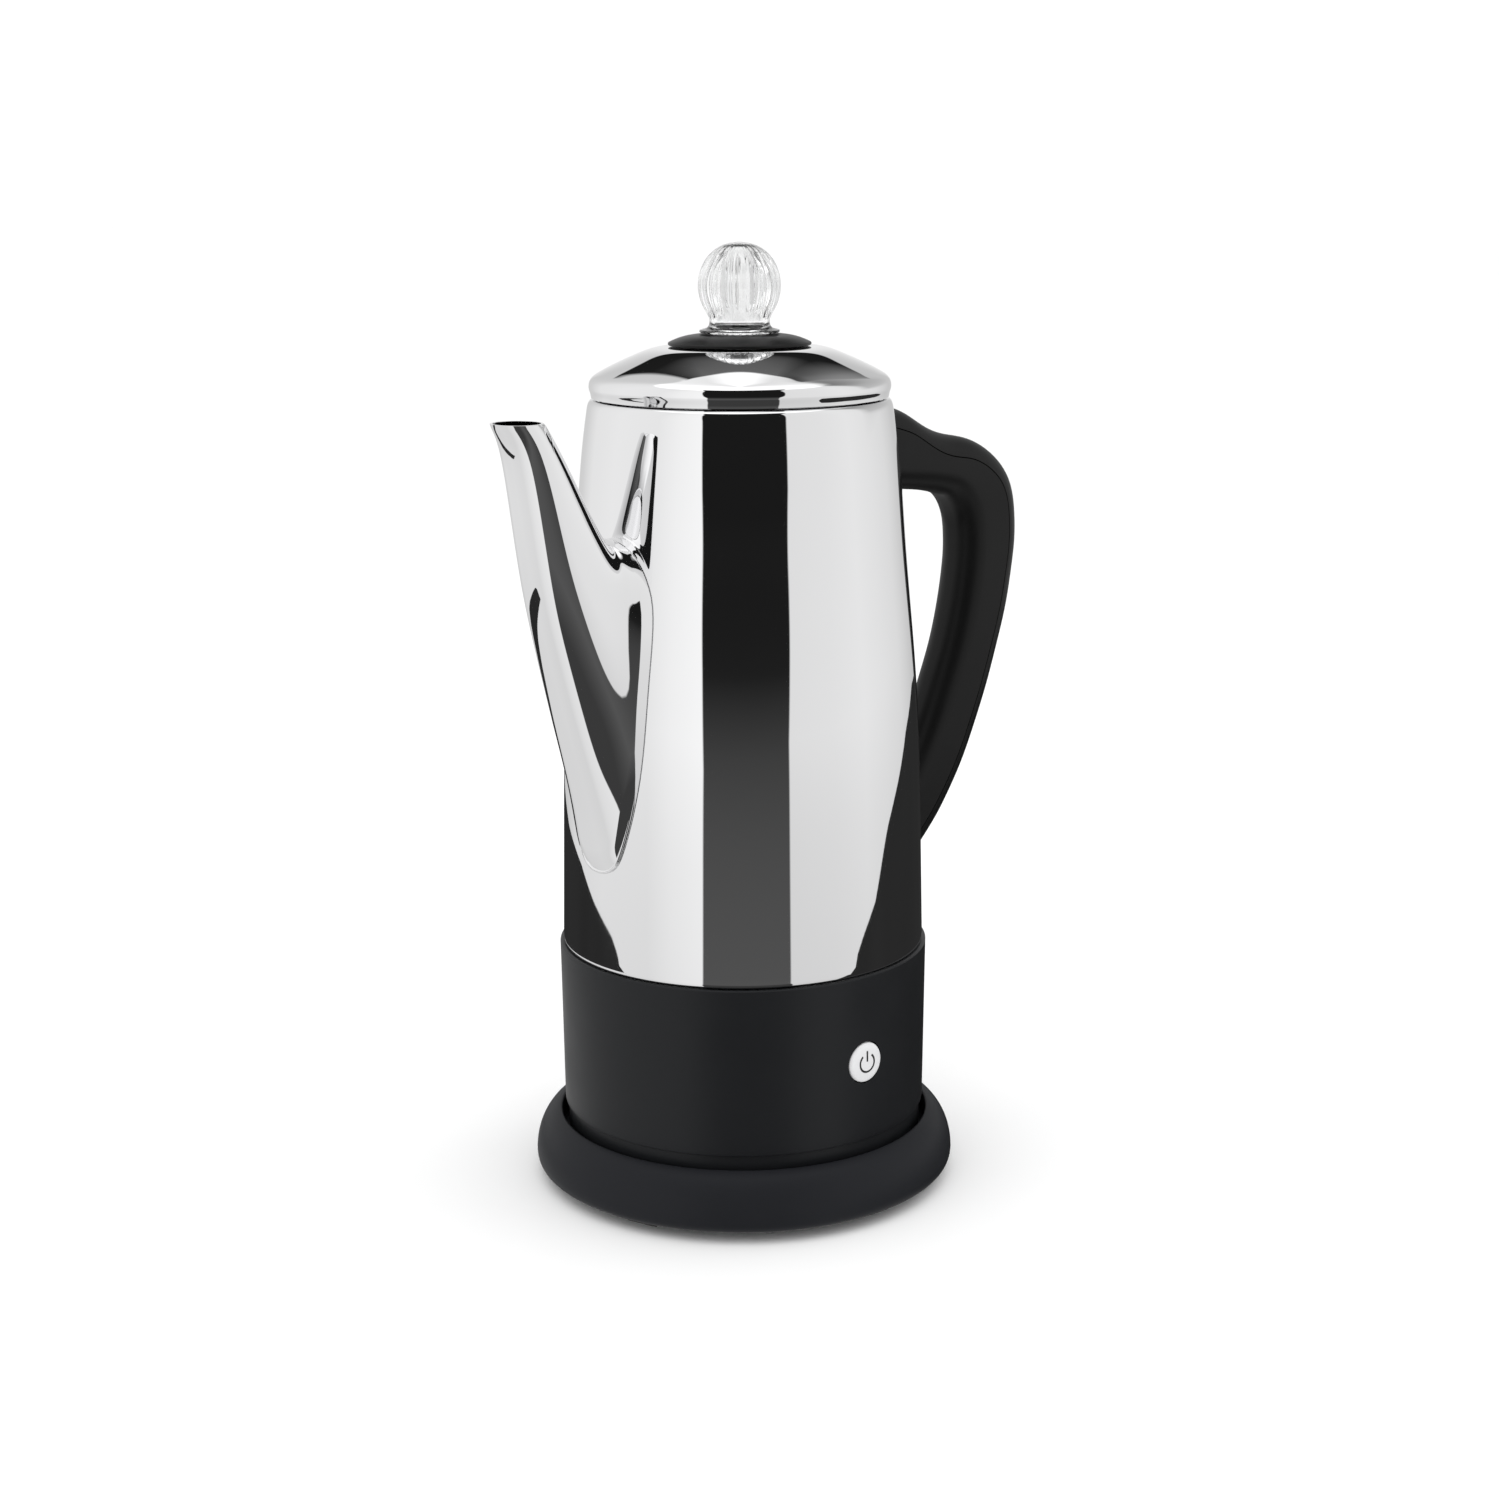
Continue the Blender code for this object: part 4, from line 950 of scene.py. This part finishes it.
def room_material():
    """Light of the studio by direction: azimuth from the front (to the right) and height, in degrees."""
    made = bpy.data.materials.new("studio_room")
    made.use_nodes = True
    made.cycles.emission_sampling = "NONE"
    tree = made.node_tree
    tree.nodes.clear()
    place = tree.nodes.new("ShaderNodeTexCoord")
    direction = tree.nodes.new("ShaderNodeVectorMath")
    direction.operation = "NORMALIZE"
    split = tree.nodes.new("ShaderNodeSeparateXYZ")
    tree.links.new(place.outputs["Object"], direction.inputs[0])
    tree.links.new(direction.outputs["Vector"], split.inputs["Vector"])
    degrees = 180.0 / math.pi
    front = node_math(tree, "MULTIPLY", split.outputs["Y"], -1.0)
    azimuth = node_math(tree, "MULTIPLY", node_math(tree, "ARCTAN2", split.outputs["X"], front), degrees)
    height = node_math(tree, "MULTIPLY", node_math(tree, "ARCSINE", split.outputs["Z"]), degrees)
    aside = node_math(tree, "ABSOLUTE", azimuth)

    softboxes = node_curve(tree, azimuth, [
        (-180, 0.90), (-174, 0.88), (-165, 0.66), (-150, 0.74), (-130, 0.94), (-100, 1.0), (-62, 0.98),
        (-45, 1.08), (-25, 1.15), (29, 0.90), (60, 0.93), (85, 0.98), (105, 0.93), (125, 0.86),
        (150, 0.66), (165, 0.62), (174, 0.88), (180, 0.90),
    ])
    falloff = node_curve(tree, height, [
        (-90, 0.8), (-30, 0.82), (-14, 0.88), (-3, 1.0), (57, 1.0), (58.5, 1.5), (90, 1.5),
    ])
    light = node_math(tree, "MULTIPLY", softboxes, falloff)

    gap_left = node_curve(tree, height, [
        (-40, -28), (-16, -25), (-5, -24), (2, -25), (8, -26.5), (28, -29), (50, -32), (60, -40),
    ])
    gap_right = node_curve(tree, height, [
        (-40, 35), (-16, 29.5), (-3, 29.5), (2, 31), (8, 33), (28, 35), (50, 37), (60, 50),
    ])
    gap = node_between(tree, azimuth, gap_left, gap_right, 1.0)
    gap = node_math(tree, "MULTIPLY", gap, node_between(tree, height, -60.0, 61.0, 3.0))
    gap_light = node_curve(tree, height, [
        (-60, 0.05), (-24, 0.05), (-16, 0.105), (-12, 0.092), (-8, 0.074), (-4, 0.058), (-1, 0.038),
        (2, 0.016), (6, 0.012), (60, 0.012),
    ])
    light = node_blend(tree, gap, light, gap_light)

    back = node_between(tree, height, 31.0, 58.6, 0.8)
    back_side = node_curve(tree, azimuth, [(-180, 159.0), (-1, 159.0), (1, 154.0), (180, 154.0)])
    back = node_math(tree, "MULTIPLY", back, node_step(tree, aside, back_side, 2.0))
    back_light = node_curve(tree, height, [(31, 0.010), (42, 0.014), (47, 0.07), (54, 0.13), (60, 0.16)])
    back_edge = node_step(tree, aside, 163.0, 8.0)
    back_light = node_blend(tree, back_edge, 0.014, back_light)
    light = node_blend(tree, back, light, back_light)
    side = node_between(tree, height, 12.0, 58.5, 8.0)
    side = node_math(tree, "MULTIPLY", side, node_between(tree, azimuth, 108.0, 158.0, 12.0))
    side_light = node_curve(tree, height, [(15, 0.62), (35, 0.50), (50, 0.30), (58, 0.22)])
    light = node_blend(tree, side, light, side_light)

    glow = tree.nodes.new("ShaderNodeEmission")
    out = tree.nodes.new("ShaderNodeOutputMaterial")
    tree.links.new(light, glow.inputs["Strength"])
    tree.links.new(glow.outputs["Emission"], out.inputs["Surface"])
    return made


def build_room():
    """A round room of softboxes and flags, seen in reflections and through glass only."""
    mesh = bpy.data.meshes.new("studio_room")
    work = bmesh.new()
    bmesh.ops.create_icosphere(work, subdivisions=5, radius=ROOM_RADIUS * MM)
    work.to_mesh(mesh)
    work.free()
    mesh.materials.append(room_material())
    room = bpy.data.objects.new("studio_room", mesh)
    room.rotation_euler = (0.0, 0.0, math.radians(CAMERA_AZIMUTH))
    bpy.context.scene.collection.objects.link(room)
    room.visible_camera = False
    room.visible_diffuse = False
    room.visible_shadow = False
    room.visible_volume_scatter = False


def fence_material():
    """Dark surroundings a little below the pot, slightly uneven."""
    made = bpy.data.materials.new("dark_surroundings")
    made.use_nodes = True
    made.cycles.emission_sampling = "NONE"
    tree = made.node_tree
    tree.nodes.clear()
    middle, low, high = FENCE_LIGHT
    glow = tree.nodes.new("ShaderNodeEmission")
    glow.inputs["Strength"].default_value = middle
    out = tree.nodes.new("ShaderNodeOutputMaterial")
    spread(tree, noise(tree, 2.0, 1.0), low, high, glow.inputs["Strength"])
    tree.links.new(glow.outputs["Emission"], out.inputs["Surface"])
    return made


def build_fences():
    """Dark cards far round the pot, for the dark corners at the foot of the steel wall."""
    finish = fence_material()
    for side, tops in FENCE_TOPS.items():
        corners = []
        knots = sorted(tops)
        angles = np.linspace(knots[0][0], knots[-1][0], FENCE_STEPS)
        heights = np.interp(angles, *zip(*knots))
        for angle, height in zip(angles, heights):
            turn = math.radians(CAMERA_AZIMUTH + angle)
            x, y = FENCE_RADIUS * math.sin(turn), -FENCE_RADIUS * math.cos(turn)
            corners += [(x, y, FENCE_BOTTOM[side]), (x, y, height)]
        faces = [(2 * k, 2 * k + 2, 2 * k + 3, 2 * k + 1) for k in range(FENCE_STEPS - 1)]
        card = add_mesh(f"fence_{side}", corners, faces, finish)
        card.visible_camera = False
        card.visible_diffuse = False
        card.visible_shadow = False
        card.visible_transmission = False
        card.visible_volume_scatter = False


def build_studio():
    scene = bpy.context.scene
    scene.view_settings.view_transform = "Standard"
    world = bpy.data.worlds.new("studio")
    scene.world = world
    world.use_nodes = True
    background = world.node_tree.nodes["Background"]
    background.inputs["Color"].default_value = (1.0, 1.0, 1.0, 1.0)
    background.inputs["Strength"].default_value = 1.08

    floor_finish, tree, shader = new_material("pale_floor")
    tint(tree, noise(tree, 6.0, 2.0), (0.93, 0.93, 0.93), (0.95, 0.95, 0.95), shader.inputs["Base Color"])
    shader.inputs["Roughness"].default_value = 0.8
    shader.inputs["Specular IOR Level"].default_value = 0.1
    side = FLOOR_SIDE / 2
    corners = [(-side, -side), (side, -side), (side, side), (-side, side)]
    floor = add_mesh("floor", [(x, y, FLOOR_LEVEL) for x, y in corners], [(0, 1, 2, 3)], floor_finish)
    floor.visible_glossy = False
    build_room()
    build_fences()

    lamps = (("key", (-600, -200, 1500), 1400, 5.0), ("fill", (900, -500, 1200), 1200, 3.0))
    for name, place, size, power in lamps:
        light = bpy.data.lights.new(name, "AREA")
        light.size = size * MM
        light.energy = power
        lamp = bpy.data.objects.new(name, light)
        lamp.location = Vector(place) * MM
        lamp.rotation_euler = (-Vector(place)).to_track_quat("-Z", "Y").to_euler()
        lamp.visible_glossy = False
        scene.collection.objects.link(lamp)


def build_camera():
    camera = bpy.data.objects.new("camera", bpy.data.cameras.new("camera"))
    camera.data.sensor_width = 36.0
    camera.data.lens = CAMERA_LENS
    camera.data.clip_start = 0.01
    camera.data.clip_end = 50.0
    turn = Matrix.Rotation(math.radians(CAMERA_TURN), 4, "Z")
    turn = turn @ Matrix.Rotation(math.radians(CAMERA_TILT), 4, "X")
    turn = turn @ Matrix.Rotation(math.radians(CAMERA_ROLL), 4, "Z")
    camera.matrix_world = Matrix.Translation(Vector(CAMERA_PLACE) * MM) @ turn
    bpy.context.scene.collection.objects.link(camera)
    bpy.context.scene.camera = camera


build_camera()
build_base()
build_jug_body()
build_spout()
build_shell()
build_button()
build_handle()
build_lid()
build_pump()
build_basket()
dress_inner_nodes()
build_studio()
